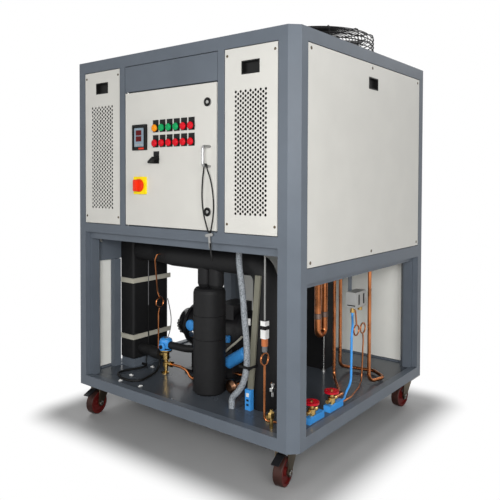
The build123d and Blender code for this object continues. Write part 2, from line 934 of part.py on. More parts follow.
outlet_height = 78
drier_start_place = Vector(accumulator_place[0] + 4, 287, 118)
drier_end_place = drier_start_place + Vector(93, 0, 60)
drier_axis = (drier_end_place - drier_start_place).normalized()
drier_run = drier_start_place.X - valve_place[0]
with BuildPart() as filter_drier:
    drier_start = cabinet.from_local_coords(drier_start_place)
    drier_end = cabinet.from_local_coords(drier_end_place)
    with BuildSketch(Plane(drier_start, z_dir=drier_end - drier_start)):
        Circle(24)
    extrude(amount=(drier_end - drier_start).length)
    fillet(filter_drier.edges(), 8)
keep(filter_drier, "filter_drier")

with BuildPart() as expansion_valve:
    turned(
        (*valve_place, 0),
        [(5, 40), (8, 46), (8, 64), (13, 66), (13, 82), (9, 84), (9, 92), (14, 94), (14, 124), (24, 126)]
        + [(valve_radius, 130), (valve_radius, 168), (20, 176), (8, 178), (8, 184)],
    )
    turned((*valve_place, outlet_height), [(8, 0), (8, 26), (12, 26), (12, 36)], (1, 0, 0))
    turned((*valve_place, inlet_height), [(9, -valve_reach), (9, 0)], (1, 0, 0))
keep(expansion_valve, "expansion_valve")

check_valve_place = (accumulator_place[0] + 81, 222)
check_valve_radius = 26
check_valve_length = 28
check_valve_height = floor_top + check_valve_radius + pin_clearance
with BuildPart() as check_valve:
    turned(
        (*check_valve_place, check_valve_height),
        [(14, -18), (20, -check_valve_length / 2), (check_valve_radius, -8)]
        + [(check_valve_radius, 6), (12, 6), (12, check_valve_length / 2)],
        (0, 1, 0),
    )
keep(check_valve, "check_valve")

# Service valves in a row on the floor
service_places = ((width - 56, 186), (width - 56, 316))
service_port_height = 70
service_port_reach = 30
service_block_x = (-14, 12)
service_block_y = (-30, 62)
service_block_height = 22
service_line_height = floor_top + 11
service_block_end = service_places[1][1] + service_block_y[1] + pin_clearance

with BuildPart() as copper_pipes:
    tube(
        [
            (valve_place[0] + 36, valve_place[1], outlet_height),
            (valve_place[0] + 84, valve_place[1], outlet_height),
            (valve_place[0] + 0.43 * drier_run, valve_place[1] - 2, outlet_height - 6),
            (valve_place[0] + 0.52 * drier_run, valve_place[1] - 6, floor_top + 9),
            (valve_place[0] + 0.69 * drier_run, 256, floor_top + 9),
            (valve_place[0] + 0.84 * drier_run, 280, 86),
            drier_start_place - 27 * drier_axis,
            drier_start_place,
        ],
        12,
        40,
    )
    tube(
        [
            drier_end_place,
            drier_end_place + 32 * drier_axis,
            (drier_end_place.X + 56, 290, 262),
            (drier_end_place.X + 56, 290, deck_bottom),
        ],
        12,
        40,
    )
    tube(
        [
            (check_valve_place[0], check_valve_place[1] + check_valve_length / 2, check_valve_height),
            (check_valve_place[0], check_valve_place[1] + 45, check_valve_height),
            (check_valve_place[0] - 12, 345, check_valve_height),
            (crankcase_x[1], 345, check_valve_height),
        ],
        14,
        30,
    )
    tube(
        [
            (down_pipe_x + 12, 523, deck_bottom),
            (down_pipe_x + 12, 523, 222),
            (down_pipe_x + 12, 573, 222),
            (down_pipe_x + 12, 573, deck_bottom),
        ],
        26,
        25,
    )
    tube(
        [
            (width - 70, 628, deck_bottom),
            (width - 70, 628, floor_top + 12),
            (width - 46, 712, floor_top + 12),
            (width - 115, 762, floor_top + 12),
            (width - 218, 742, floor_top + 12),
            (width - 230, 684, floor_top + 30),
            (width - 230, 684, deck_bottom),
        ],
        14,
        30,
    )
    tube(
        [
            (width - 200, 584, deck_bottom),
            (width - 200, 584, floor_top + 12),
            (width - 150, 520, floor_top + 12),
            (width - 95, 440, floor_top + 16),
            (service_places[1][0], 395, service_port_height),
            (service_places[1][0], service_places[1][1] + service_port_reach, service_port_height),
        ],
        12,
        30,
    )
keep(copper_pipes, "copper_pipes")


def coil(centre, radius, wire):
    """Add the round loop that takes up the spare length of a thin line."""
    place = cabinet.from_local_coords(Vector(*centre))
    with Locations(Location(place, (0, 90, 40))):
        Torus(radius, wire / 2)


capillary = 6
coil_radius = 20
nut_places = (560, 622)
nut_bottom = 326
switch_line_x = width - 108
sensor_place = (width - 168, 75)
sensor_bottom = 272
with BuildPart() as capillary_lines:
    tube(
        [
            (evaporator_x[1] + 191, 167.1, header_height),
            (evaporator_x[1] + 186.8, 155.8, header_height),
            (evaporator_x[1] + 178, 153, header_height - 22),
            (258, 213, 372),
            (262, 222, 345),
        ],
        capillary,
        30,
    )
    coil((262, 222, 327), coil_radius, capillary)
    tube([(262, 222, 309), (254, 222, 280), (252, 224, inlet_height + 23)], capillary, 30)
    tube(
        [
            (switch_line_x, nut_places[0] + 9, nut_bottom + 6),
            (switch_line_x, nut_places[0] + 24, nut_bottom + 6),
            (switch_line_x, nut_places[0] + 31, 300),
            (switch_line_x, nut_places[0] + 34, 268),
        ],
        capillary,
        12,
    )
    coil((switch_line_x, nut_places[0] + 34, 250), coil_radius, capillary)
    tube(
        [
            (switch_line_x, nut_places[0] + 34, 232),
            (switch_line_x, nut_places[0] + 26, 200),
            (switch_line_x, nut_places[0] + 16, floor_top + 6),
            (width - 102, 480, floor_top + 6),
            (width - 67, 412, service_line_height),
            (width - 67, service_block_end, service_line_height),
        ],
        capillary,
        30,
    )
    tube(
        [
            (switch_line_x, nut_places[1], nut_bottom),
            (switch_line_x, nut_places[1], 308),
            (switch_line_x, nut_places[1] + 20, 290),
            (switch_line_x, nut_places[1] + 26, 266),
        ],
        capillary,
        20,
    )
    coil((switch_line_x, nut_places[1] + 26, 248), coil_radius, capillary)
    tube(
        [
            (switch_line_x, nut_places[1] + 26, 230),
            (switch_line_x, nut_places[1] + 30, 200),
            (switch_line_x, nut_places[1] + 18, floor_top + 6),
            (width - 78, 560, floor_top + 6),
            (width - 47, 440, service_line_height),
            (width - 47, service_block_end, service_line_height),
        ],
        capillary,
        30,
    )
    coil((*sensor_place, sensor_bottom - coil_radius - capillary / 2 - pin_clearance), coil_radius, capillary)
    tube(
        [
            (*sensor_place, 232),
            (*sensor_place, service_line_height),
            (width - 140, 84, service_line_height),
            (width - 77, 102, service_line_height),
            (width - 63, 126, service_line_height),
            (width - 63, service_places[0][1] + service_block_y[0] - pin_clearance, service_line_height),
        ],
        capillary + 2,
        18,
    )
keep(capillary_lines, "capillary_lines")

# Pressure switch on its bracket
switch_x = (width - 130, width - 87)
switch_y = (548, 632)
switch_z = (345, 405)
with BuildPart(cabinet) as pressure_switch:
    bar(switch_x, switch_y, switch_z)
    bar((switch_x[0], switch_x[0] + sheet), (565, 590), (switch_z[1] - 20, deck_bottom))
    for place in nut_places:
        turned(
            (switch_line_x, place, 0),
            [(9, nut_bottom), (9, nut_bottom + 12), (6, nut_bottom + 12), (6, switch_z[0])],
        )
keep(pressure_switch, "pressure_switch")

with BuildPart() as charging_hose:
    tube(
        [
            (switch_line_x, nut_places[0], nut_bottom),
            (switch_line_x, nut_places[0], 312),
            (width - 82, 515, 290),
            (width - 76, 496, 255),
            (width - 76, 494, 80),
            (width - 72, 445, service_line_height + 6),
            (width - 57, 405, service_line_height),
            (width - 57, service_block_end, service_line_height),
        ],
        9,
        40,
    )
keep(charging_hose, "charging_hose")

wheel_stem = 5
handwheel_low = 96
handwheel_radius = 26
with BuildPart(cabinet) as service_valves:
    for x, y in service_places:
        bar(
            (x + service_block_x[0], x + service_block_x[1]),
            (y + service_block_y[0], y + service_block_y[1]),
            (floor_top, floor_top + service_block_height),
        )
        turned(
            (x, y, 0),
            [(9, floor_top + service_block_height), (9, 60), (13, 62), (13, 79), (7, 81), (7, 92)],
        )
        turned((x, y, 0), [(wheel_stem, 92), (wheel_stem, handwheel_low + 10)])
        turned(
            (x, y, service_port_height),
            [(7, -service_port_reach), (7, service_port_reach)],
            (0, 1, 0),
        )
keep(service_valves, "service_valves")

for name, (x, y) in zip(("front", "rear"), service_places):
    with BuildPart() as handwheel:
        turned((x, y, 0), [(handwheel_radius, handwheel_low), (handwheel_radius, handwheel_low + 7)])
        with BuildSketch(cabinet.offset(handwheel_low)):
            with Locations((x, y)):
                with PolarLocations(handwheel_radius * 0.6, 4):
                    Circle(handwheel_radius * 0.18)
        extrude(amount=8, mode=Mode.SUBTRACT)
        with BuildSketch(cabinet.offset(handwheel_low)):
            with Locations((x, y)):
                Circle(wheel_stem + pin_clearance)
        extrude(amount=8, mode=Mode.SUBTRACT)
    keep(handwheel, f"handwheel_{name}")

# Conduit, cable channel and sensors in the front right of the bay
conduit_shape = [
    (-68, 128, deck_bottom),
    (-68, 128, 545),
    (-58, 127, 490),
    (-47, 126, 420),
    (-41, 126, 350),
    (-29, 124, 270),
    (-25, 120, 190),
    (-34, 114, 135),
    (-58, 112, 98),
    (-86, 112, 72),
    (-86, 112, floor_top),
]
conduit_points = [(down_pipe_x + across, back, up) for across, back, up in conduit_shape]
with BuildPart() as flexible_conduit:
    tube(conduit_points, 22)
keep(flexible_conduit, "flexible_conduit")

channel_box_top = 107
channel_top = 506
channel_width = 22
channel_lean = 32
channel_back = header_y - header_radius - pin_clearance
channel_left = down_pipe_x - 38
with BuildPart(cabinet) as cable_channel:
    bar(
        (channel_left - 3, channel_left + 21),
        (channel_back - 18, channel_back),
        (floor_top, channel_box_top),
    )
    with BuildSketch(front_face.offset(-channel_back)):
        with BuildLine():
            Polyline(
                (channel_left, channel_box_top),
                (channel_left + channel_width, channel_box_top),
                (channel_left + channel_width + channel_lean, channel_top),
                (channel_left + channel_lean, channel_top),
                close=True,
            )
        make_face()
    extrude(amount=8)
keep(cable_channel, "cable_channel")

sensor_box = 20
with BuildPart() as sensor_stack:
    turned(
        (*sensor_place, 0),
        [(7, sensor_bottom), (9, sensor_bottom + 3), (9, 292), (11, 292), (11, 317), (8, 317), (8, 374)]
        + [(3, 376), (3, deck_bottom)],
    )
    for low, high in ((317, 346), (359, 375)):
        with BuildSketch(cabinet.offset(low)):
            with Locations(sensor_place):
                Rectangle(sensor_box, sensor_box)
        extrude(amount=high - low)
keep(sensor_stack, "sensor_stack")

cable_height = floor_top + 5
floor_cable_points = [
    (250, 232, inlet_height - 23 - pin_clearance),
    (250, 232, 62),
    (258, 205, cable_height),
    (278, 145, cable_height),
    (292, 92, cable_height),
    (256, 64, cable_height),
    (196, 68, cable_height),
    (150, 92, cable_height),
    (138, 130, cable_height),
    (156, 172, cable_height),
    (172, 212, cable_height),
    (160, 240, cable_height + 3),
    (evaporator_x[1] + 4 + pin_clearance, 240, cable_height + 3),
]
with BuildPart() as floor_cable:
    tube(floor_cable_points, 9)
keep(floor_cable, "floor_cable")

# Casters: fixed plates, swivelling forks and rolling wheels
pin_radius = 6
swivel_gap = 1
crown_radius = 30
crown_height = 10
crown_top = caster_plate_thickness + swivel_gap
axle_drop = caster_height - wheel_diameter / 2
pedal_width = 26
pedal_reach = 97
caster_places = {
    "front_left": ((caster_inset, caster_inset), -80),
    "front_right": ((width - caster_inset, caster_inset), -80),
    "rear_left": ((rear_caster_inset, depth - caster_inset), -84),
    "rear_right": ((width - rear_caster_inset, depth - caster_inset), -96),
}
with BuildPart() as caster_plates:
    with BuildSketch(cabinet):
        for place, turn in caster_places.values():
            with Locations(place):
                Rectangle(caster_plate, caster_plate)
    extrude(amount=-caster_plate_thickness)
    with BuildSketch(cabinet):
        for place, turn in caster_places.values():
            with Locations(place):
                Circle(pin_radius)
    extrude(amount=-crown_top - crown_height)
keep(caster_plates, "caster_plates")

half_fork = wheel_width / 2 + fork_side_gap
for name, (place, turn) in caster_places.items():
    pivot = cabinet.from_local_coords(Vector(*place, 0))
    trail = Vector(1, 0, 0).rotate(Axis.Z, turn)
    axle = Vector(0, 1, 0).rotate(Axis.Z, turn)
    under = Plane(pivot - Vector(0, 0, crown_top), x_dir=trail)
    centre = pivot + trail * caster_trail - Vector(0, 0, axle_drop)
    side = Plane(pivot, x_dir=trail, z_dir=-axle)
    with BuildPart() as fork:
        with BuildSketch(under):
            Circle(crown_radius)
        extrude(amount=-crown_height)
        with BuildSketch(under.offset(-crown_height)):
            Circle(crown_radius)
            with Locations((caster_trail / 2, 0)):
                Rectangle(caster_trail, 2 * (half_fork + fork_thickness))
        extrude(amount=-fork_thickness)
        with BuildSketch(side.offset(-half_fork - fork_thickness)):
            with BuildLine():
                Polyline(
                    (-crown_radius * 0.8, -crown_top - crown_height),
                    (crown_radius * 1.4, -crown_top - crown_height),
                    (caster_trail + 13, -axle_drop),
                    (caster_trail + 6, -axle_drop - 13),
                    (caster_trail - 8, -axle_drop - 13),
                    (caster_trail - 16, -axle_drop),
                    close=True,
                )
            make_face()
        extrude(amount=2 * (half_fork + fork_thickness))
        with BuildSketch(side.offset(-half_fork)):
            with Locations((caster_trail / 2, -axle_drop)):
                Rectangle(400, 2 * (axle_drop - crown_top - crown_height - fork_thickness))
        extrude(amount=2 * half_fork, mode=Mode.SUBTRACT)
        with BuildSketch(side.offset(-half_fork - fork_thickness - 5)):
            with Locations((caster_trail, -axle_drop)):
                Circle(axle_radius)
        extrude(amount=2 * (half_fork + fork_thickness + 5))
        with BuildSketch(side.offset(-pedal_width / 2)):
            with BuildLine():
                Polyline(
                    (caster_trail / 2, -crown_top - crown_height),
                    (caster_trail + 22, -crown_top - crown_height - 2),
                    (pedal_reach, -crown_top - crown_height - 16),
                    (pedal_reach - 2, -crown_top - crown_height - 20),
                    (caster_trail + 20, -crown_top - crown_height - 6),
                    (caster_trail / 2, -crown_top - crown_height - fork_thickness),
                    close=True,
                )
            make_face()
        extrude(amount=pedal_width)
        with BuildSketch(under):
            Circle(pin_radius + pin_clearance)
        extrude(amount=-crown_height - fork_thickness, mode=Mode.SUBTRACT)
    keep(fork, f"caster_fork_{name}")
    tread = Plane(centre - axle * (wheel_width / 2), x_dir=trail, z_dir=axle)
    with BuildPart() as wheel:
        with BuildSketch(tread):
            Circle(wheel_diameter / 2)
        extrude(amount=wheel_width)
        fillet(wheel.edges(), 4)
        for face_plane in (tread, Plane(centre + axle * (wheel_width / 2), x_dir=trail, z_dir=-axle)):
            with BuildSketch(face_plane):
                Circle(wheel_diameter / 2 - 9)
                Circle(15, mode=Mode.SUBTRACT)
            extrude(amount=6, mode=Mode.SUBTRACT)
        with BuildSketch(tread):
            Circle(axle_radius + shaft_clearance)
        extrude(amount=wheel_width, mode=Mode.SUBTRACT)
    keep(wheel, f"caster_wheel_{name}")

os.makedirs("parts", exist_ok=True)
for part in parts:
    export_step(part, f"parts/{part.label}.step")
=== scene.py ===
"""Looks of an air-cooled oil chiller on casters, dressed around its solid model.

Places are given in millimetres from the cabinet's front left bottom corner, X to the right,
Y to the rear and Z up, and spot() turns them into the model's own metres.
"""

from math import cos, pi, radians, sin, tau

import bmesh
import bpy
from mathutils import Matrix, Vector


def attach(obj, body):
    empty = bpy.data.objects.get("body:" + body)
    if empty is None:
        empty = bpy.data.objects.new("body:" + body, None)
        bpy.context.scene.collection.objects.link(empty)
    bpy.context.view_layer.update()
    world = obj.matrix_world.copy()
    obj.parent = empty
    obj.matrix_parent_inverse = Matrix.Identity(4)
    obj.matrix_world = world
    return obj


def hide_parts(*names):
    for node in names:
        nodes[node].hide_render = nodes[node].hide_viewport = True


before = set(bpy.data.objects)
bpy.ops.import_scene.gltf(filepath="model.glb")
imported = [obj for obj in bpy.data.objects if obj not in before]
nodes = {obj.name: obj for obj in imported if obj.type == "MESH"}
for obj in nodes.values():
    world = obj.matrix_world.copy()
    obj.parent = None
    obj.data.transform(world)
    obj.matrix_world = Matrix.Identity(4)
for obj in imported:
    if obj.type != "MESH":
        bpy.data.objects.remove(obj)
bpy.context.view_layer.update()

# Cabinet
WIDTH, DEPTH = 1080, 1000
FRONT_Y = -480
CASTER_HEIGHT = 122
POST_FACE = 65
GRILLE_WIDTH = 215
REBATE = 22
REVEAL = 1
PANEL_GAP = 2.5
FLOOR_TOP = 35
FRONT_LOW, PANEL_TOP = 660, 1257
SIDE_LOW = 560


def spot(x, y, z):
    """Turn a place of the cabinet in millimetres into a point of the model in metres."""
    return Vector(((x - WIDTH / 2) / 1000, (y + FRONT_Y) / 1000, (z + CASTER_HEIGHT) / 1000))


# Shader writing


class Wire:
    """One socket of a material's nodes; arithmetic on it adds Math nodes."""

    def __init__(self, paint, socket):
        self.paint = paint
        self.socket = socket

    def _math(self, operation, *values):
        inputs = dict(enumerate(values))
        return self.paint.add("ShaderNodeMath", {"operation": operation}, inputs)

    def __add__(self, other):
        return self._math("ADD", self, other)

    def __sub__(self, other):
        return self._math("SUBTRACT", self, other)

    def __mul__(self, other):
        return self._math("MULTIPLY", self, other)

    def root(self):
        """Give the square root of this value."""
        return self._math("SQRT", self, 0.5)

    def size(self):
        """Give this value without its sign."""
        return self._math("ABSOLUTE", self)

    def wave(self):
        """Give the sine of this value."""
        return self._math("SINE", self)

    def most(self, other):
        """Give the larger of this value and another."""
        return self._math("MAXIMUM", self, other)


class Paint:
    """A material made of nodes, written as expressions."""

    def __init__(self, name, **fixed):
        self.material = bpy.data.materials.new(name)
        self.material.use_nodes = True
        self.tree = self.material.node_tree
        self.shader = self.tree.nodes["Principled BSDF"]
        for socket, value in fixed.items():
            self.shader.inputs[socket.replace("_", " ")].default_value = value

    def add(self, kind, settings=None, inputs=None, output=0):
        """Add a node: its settings first, then the values or links of its sockets."""
        node = self.tree.nodes.new(kind)
        for key, value in (settings or {}).items():
            if key == "stops":
                ramp = node.color_ramp
                while len(ramp.elements) < len(value):
                    ramp.elements.new(0.5)
                for element, (position, colour) in zip(ramp.elements, value):
                    element.position = position
                    element.color = colour
            else:
                setattr(node, key, value)
        for key, value in (inputs or {}).items():
            if isinstance(value, Wire):
                self.tree.links.new(value.socket, node.inputs[key])
            else:
                node.inputs[key].default_value = value
        return Wire(self, node.outputs[output])

    def place(self):
        """Give the point of the surface in the model's metres."""
        return self.add("ShaderNodeTexCoord", output="Object")

    def ray(self, name):
        """Say whether a ray of one kind is looking."""
        return self.add("ShaderNodeLightPath", output=name)

    def noise(self, scale, detail=3.0, rough=0.5):
        """Give a cloudy value over the surface."""
        return self.add(
            "ShaderNodeTexNoise",
            inputs={"Vector": self.place(), "Scale": scale, "Detail": detail, "Roughness": rough},
            output="Fac",
        )

    def grain(self, stretch, scale, detail=2.0):
        """Give a cloudy value stretched along the axes, as brushed metal has."""
        along = self.add("ShaderNodeVectorMath", {"operation": "MULTIPLY"}, {0: self.place(), 1: stretch})
        return self.add(
            "ShaderNodeTexNoise", inputs={"Vector": along, "Scale": scale, "Detail": detail}, output="Fac"
        )

    def axis(self, name):
        """Give one coordinate of the surface's point in metres."""
        return self.add("ShaderNodeSeparateXYZ", inputs={0: self.place()}, output=name)

    def blend(self, amount, first, second):
        """Mix two colours."""
        return self.add(
            "ShaderNodeMix",
            {"data_type": "RGBA"},
            {"Factor": amount, 6: first, 7: second},
            output=2,
        )

    def steps(self, value, *stops):
        """Turn a value into a colour by stops of position and colour."""
        return self.add("ShaderNodeValToRGB", {"stops": stops}, {"Fac": value})

    def colour(self, value):
        """Set the base colour."""
        self.tree.links.new(value.socket, self.shader.inputs["Base Color"])
        return self

    def rough(self, value):
        """Set the roughness."""
        self.tree.links.new(value.socket, self.shader.inputs["Roughness"])
        return self

    def relief(self, height, strength, distance):
        """Bump the surface by a height."""
        inputs = {"Strength": strength, "Distance": distance, "Height": height}
        bump = self.add("ShaderNodeBump", inputs=inputs, output="Normal")
        self.tree.links.new(bump.socket, self.shader.inputs["Normal"])
        return self


def tint(colour, factor):
    """Scale a colour and give it full alpha."""
    return (*[min(1.0, channel * factor) for channel in colour[:3]], 1.0)


def coated(name, colour, roughness=0.4, relief=0.12, spread=0.06, coat=0.0, scale=9.0, shine=0.35):
    """Make a painted or powder-coated sheet: faint clouding and orange peel."""
    paint = Paint(name, Coat_Weight=coat, Coat_Roughness=0.12, Specular_IOR_Level=shine)
    clouds = paint.noise(scale, 4.0)
    paint.colour(paint.steps(clouds, (0.3, tint(colour, 1 - spread)), (0.7, tint(colour, 1 + spread))))
    paint.rough(clouds * 0.12 + (roughness - 0.06))
    paint.relief(paint.noise(900.0, 2.0), relief, 0.0004)
    return paint.material


def metal(name, colour, roughness=0.3, stretch=(1, 1, 40), scale=30.0, spread=0.15, relief=0.08):
    """Make a bare or plated metal with a fine directional grain."""
    paint = Paint(name, Metallic=1.0)
    grain = paint.grain(stretch, scale)
    clouds = paint.noise(14.0)
    paint.colour(paint.steps(clouds, (0.3, tint(colour, 1 - spread)), (0.7, tint(colour, 1 + spread))))
    paint.rough(grain * 0.16 + clouds * 0.1 + (roughness - 0.13))
    paint.relief(grain, relief, 0.0003)
    return paint.material


def moulded(name, colour, roughness=0.45, relief=0.1, spread=0.08, shine=0.3):
    """Make a moulded plastic with a finely textured skin."""
    paint = Paint(name, Specular_IOR_Level=shine)
    clouds = paint.noise(25.0, 3.0)
    paint.colour(paint.steps(clouds, (0.3, tint(colour, 1 - spread)), (0.7, tint(colour, 1 + spread))))
    paint.rough(clouds * 0.1 + (roughness - 0.05))
    paint.relief(paint.noise(1600.0, 2.0), relief, 0.0003)
    return paint.material


def foam(name, colour):
    """Make closed-cell foam insulation: dull black skin with pits, dust and soft dents."""
    paint = Paint(name, Specular_IOR_Level=0.16)
    clouds = paint.noise(7.0, 5.0)
    dust = paint.noise(60.0, 4.0)
    paint.colour(paint.blend(clouds * dust, tint(colour, 0.7), tint(colour, 2.2)))
    paint.rough(dust * 0.25 + 0.45)
    paint.relief(paint.noise(320.0, 3.0) + clouds * 2.0, 0.35, 0.0012)
    return paint.material


def ribbed(name, colour, pitch, distance):
    """Make a corrugated or finned skin with its ribs a pitch apart up the model."""
    paint = Paint(name, Specular_IOR_Level=0.08)
    ridge_and_groove_shade = (paint.axis("Z") * (tau / pitch)).wave() * 0.5 + 0.5
    clouds = paint.noise(20.0)
    # Painted shade: the grooves between the ribs darker, the crests lighter.
    paint.colour(paint.blend(ridge_and_groove_shade, tint(colour, 0.45), tint(colour, 1.1)))
    paint.rough(clouds * 0.1 + 0.45)
    paint.relief(ridge_and_groove_shade, 0.8, distance)
    return paint.material


def speckled(name, colour, pitch):
    """Make the pale corrugated sleeve: rings of painted shade along its corrugation, mottled with darker
    flecks.
    """
    paint = Paint(name)
    ring = (paint.axis("Z") * (tau / pitch)).wave() * 0.5 + 0.5
    flecks = paint.noise(210.0, 5.0, 0.7)
    stops = ((0.4, tint(colour, 0.35)), (0.52, tint(colour, 1.0)), (0.7, tint(colour, 1.3)))
    mottle = paint.steps(flecks, *stops)
    # The rings darken the colour in step with the corrugation's bumps: painted shade.
    paint.colour(paint.blend(ring * 0.35, mottle, tint(colour, 0.4)))
    paint.rough(flecks * 0.2 + 0.35)
    paint.relief(ring, 0.7, 0.0015)
    return paint.material


def glossy_lens(name, dark, light):
    """Make a coloured lens or display with a faintly faceted glow."""
    paint = Paint(name, Specular_IOR_Level=0.12)
    facets = paint.noise(520.0, 1.0)
    paint.colour(paint.steps(facets, (0.35, (*dark, 1)), (0.65, (*light, 1))))
    paint.rough(facets * 0.1 + 0.18)
    paint.relief(facets, 0.12, 0.0005)
    return paint.material


# Materials
ivory = coated("ivory_powder_coat", (0.61, 0.60, 0.56), 0.42, 0.16, 0.025)
# A lighter copy of the ivory for the panels' inner faces: painted light inside the bay.
lit_inner_ivory = coated("unsoiled_inner_coat", (0.80, 0.80, 0.75), 0.45, 0.12, 0.03)
slate = coated("slate_frame_paint", (0.112, 0.131, 0.156), 0.34, 0.12, 0.06, shine=0.16)
# A darker copy of the slate frame paint for the floor plate: painted shade inside the bay. Its coat and
# gloss are the plate's own.
bay_shade_floor_paint = coated(
    "dark_floor_plate", (0.072, 0.083, 0.098), 0.26, 0.06, 0.16, coat=0.12, scale=4.0, shine=0.2
)
black_paint = coated("satin_black_paint", (0.008, 0.008, 0.009), 0.4, 0.1, 0.2, shine=0.12)
cream = coated("cream_strap_paint", (0.50, 0.48, 0.40), 0.4, 0.12, 0.08)
cast = coated("painted_casting", (0.009, 0.009, 0.010), 0.34, 0.5, 0.3, coat=0.05, shine=0.2)
sky_blue = coated("blue_enamel", (0.055, 0.32, 0.78), 0.3, 0.08, 0.14, coat=0.1, shine=0.25)
zinc = metal("zinc_plate", (0.30, 0.30, 0.29), 0.38, (1, 1, 1), 12.0)
bronze = metal("dark_bronze_plate", (0.10, 0.08, 0.055), 0.4, (1, 1, 1), 18.0, 0.35)
old_bronze = metal("tarnished_copper", (0.16, 0.085, 0.05), 0.34, (1, 1, 1), 90.0, 0.55, 0.3)
bright = metal("bright_plating", (0.38, 0.38, 0.37), 0.24, (1, 1, 6), 40.0, 0.1)
chrome = metal("chrome_trim", (0.34, 0.34, 0.34), 0.32, (1, 1, 1), 60.0, 0.12, 0.02)
copper = metal("copper_tube", (0.40, 0.145, 0.055), 0.28, (1, 1, 1), 22.0, 0.35)
brass = metal("machined_brass", (0.46, 0.31, 0.11), 0.28, (1, 1, 20), 40.0, 0.12)
solder = metal("silver_solder", (0.17, 0.12, 0.10), 0.46, (1, 1, 1), 60.0, 0.3)
foam_black = foam("foam_insulation", (0.009, 0.009, 0.0095))
black_plastic = moulded("black_plastic", (0.008, 0.008, 0.008), 0.4, shine=0.12)
grey_plastic = moulded("grey_housing", (0.36, 0.36, 0.35), 0.45)
pale_sheath = moulded("pale_grey_sheath", (0.27, 0.27, 0.26), 0.45)
white_plastic = moulded("white_housing", (0.80, 0.80, 0.78), 0.4)
orange_plastic = moulded("orange_cap", (0.50, 0.15, 0.05), 0.4)
yellow_plastic = moulded("yellow_plate", (0.92, 0.72, 0.005), 0.4, shine=0.2)
red_plastic = moulded("red_handle", (0.76, 0.03, 0.006), 0.35, shine=0.25)
wheel_crimson = moulded("crimson_handwheel", (0.44, 0.003, 0.015), 0.3, shine=0.25)
channel_plastic = moulded("grey_channel", (0.20, 0.195, 0.15), 0.5)
screen_grey = moulded("controller_face", (0.25, 0.32, 0.38), 0.45, shine=0.05)
cable_black = moulded("black_sheath", (0.008, 0.008, 0.008), 0.45, shine=0.15)
wheel_red = moulded("dark_red_wheel", (0.088, 0.008, 0.007), 0.34, 0.25, 0.2, shine=0.2)
tread_brown = moulded("brown_tread", (0.034, 0.014, 0.011), 0.45, 0.3, 0.3, shine=0.15)
coil_fins = ribbed("coil_fins", (0.006, 0.006, 0.0065), 0.004, 0.001)
braid = ribbed("grey_braid", (0.24, 0.24, 0.25), 0.0024, 0.0006)
conduit_skin = speckled("corrugated_conduit", (0.34, 0.37, 0.40), 0.0045)
red_lens = glossy_lens("red_lens", (0.40, 0.002, 0.008), (0.80, 0.005, 0.018))
green_lens = glossy_lens("green_lens", (0.003, 0.20, 0.06), (0.006, 0.40, 0.12))
orange_lens = glossy_lens("orange_lens", (0.70, 0.20, 0.003), (0.98, 0.36, 0.008))
display = glossy_lens("unlit_display", (0.05, 0.001, 0.002), (0.15, 0.002, 0.004))

CLOTHING = {
    slate: (
        "base_tray",
        "corner_posts",
        "frame_rails",
        "front_mullions",
        "mid_deck",
        "header_panel",
        "evaporator_stand",
    ),
    ivory: ("side_panels", "rear_panels", "roof_panel", "control_door"),
    black_paint: ("fan_rings", "fan_rotor_left", "fan_rotor_right"),
    coil_fins: ("condenser_coils",),
    zinc: ("control_cubicle", "mounting_plate", "panel_key", "caster_plates"),
    bright: ("door_pivots",),
    chrome: ("door_fittings",),
    yellow_plastic: ("isolator_plate",),
    red_plastic: ("isolator_handle",),
    wheel_crimson: ("handwheel_front", "handwheel_rear"),
    foam_black: ("evaporator", "second_exchanger", "insulated_pipes", "suction_accumulator"),
    cream: ("evaporator_straps",),
    brass: ("oil_ports", "expansion_valve", "service_valves"),
    cast: ("compressor",),
    sky_blue: ("filter_drier", "charging_hose"),
    old_bronze: ("check_valve",),
    copper: ("copper_pipes", "capillary_lines"),
    grey_plastic: ("pressure_switch",),
    conduit_skin: ("flexible_conduit",),
    channel_plastic: ("cable_channel",),
    black_plastic: (
        "panel_pulls",
        "temperature_controller",
        "pilot_lamps",
        "selector_knob",
        "sensor_stack",
    ),
    cable_black: ("floor_cable",),
    bronze: tuple(name for name in nodes if name.startswith("caster_fork")),
    wheel_red: tuple(name for name in nodes if name.startswith("caster_wheel")),
}
for material, members in CLOTHING.items():
    for member in members:
        nodes[member].data.materials.clear()
        nodes[member].data.materials.append(material)


def dress(member, material, fits):
    """Give the faces of a solid that pass a test a material of their own."""
    data = nodes[member].data
    data.materials.append(material)
    for polygon in data.polygons:
        x, y, z = polygon.center * 1000
        here = (x + WIDTH / 2, y - FRONT_Y, z - CASTER_HEIGHT)
        if fits(*here, polygon.normal):
            polygon.material_index = len(data.materials) - 1


LOCKS = ((729, 1093), (729, 727))
SENSOR = (912, 75)
CASTERS = {
    "front_left": (75, 75, -80),
    "front_right": (1005, 75, -80),
    "rear_left": (52, 925, -84),
    "rear_right": (1028, 925, -96),
}
TRAIL = 36
FORK_OUTSIDE = 25
WHEEL_RADIUS = 45
AXLE_Z = WHEEL_RADIUS - CASTER_HEIGHT
TREAD_RADIUS = 42
PEDAL_START, PEDAL_LOW = 52, -45


def caster_frame(corner):
    """Give a caster's pivot, its trailing direction and its axle's direction."""
    x, y, turn = CASTERS[corner]
    turn = radians(turn)
    return Vector((x, y, 0)), Vector((cos(turn), sin(turn), 0)), Vector((-sin(turn), cos(turn), 0))


def lock_reach(x, z):
    """Give how far a point is from the nearer lock's middle."""
    return min(((x - across) ** 2 + (z - up) ** 2) ** 0.5 for across, up in LOCKS)


# Where one material of a solid ends and the next begins
LEVEL, FACING_IN = 0.9, -0.5
VALVE_FOOT_TOP, CHANNEL_FOOT_TOP = 57.2, 107.2
SWITCH_NUTS_TOP, SWITCH_BRACKET_LOW = 344, 406
LOCK_RIM = 14
BRAID_TOP, CAP_LOW, CAP_TOP = 291.9, 291, 317.5
HOUSING_LOW, HOUSING_TOP, HOUSING_CORE = 316.5, 375.5, 8.6
SHEATH_LOW = 376.5
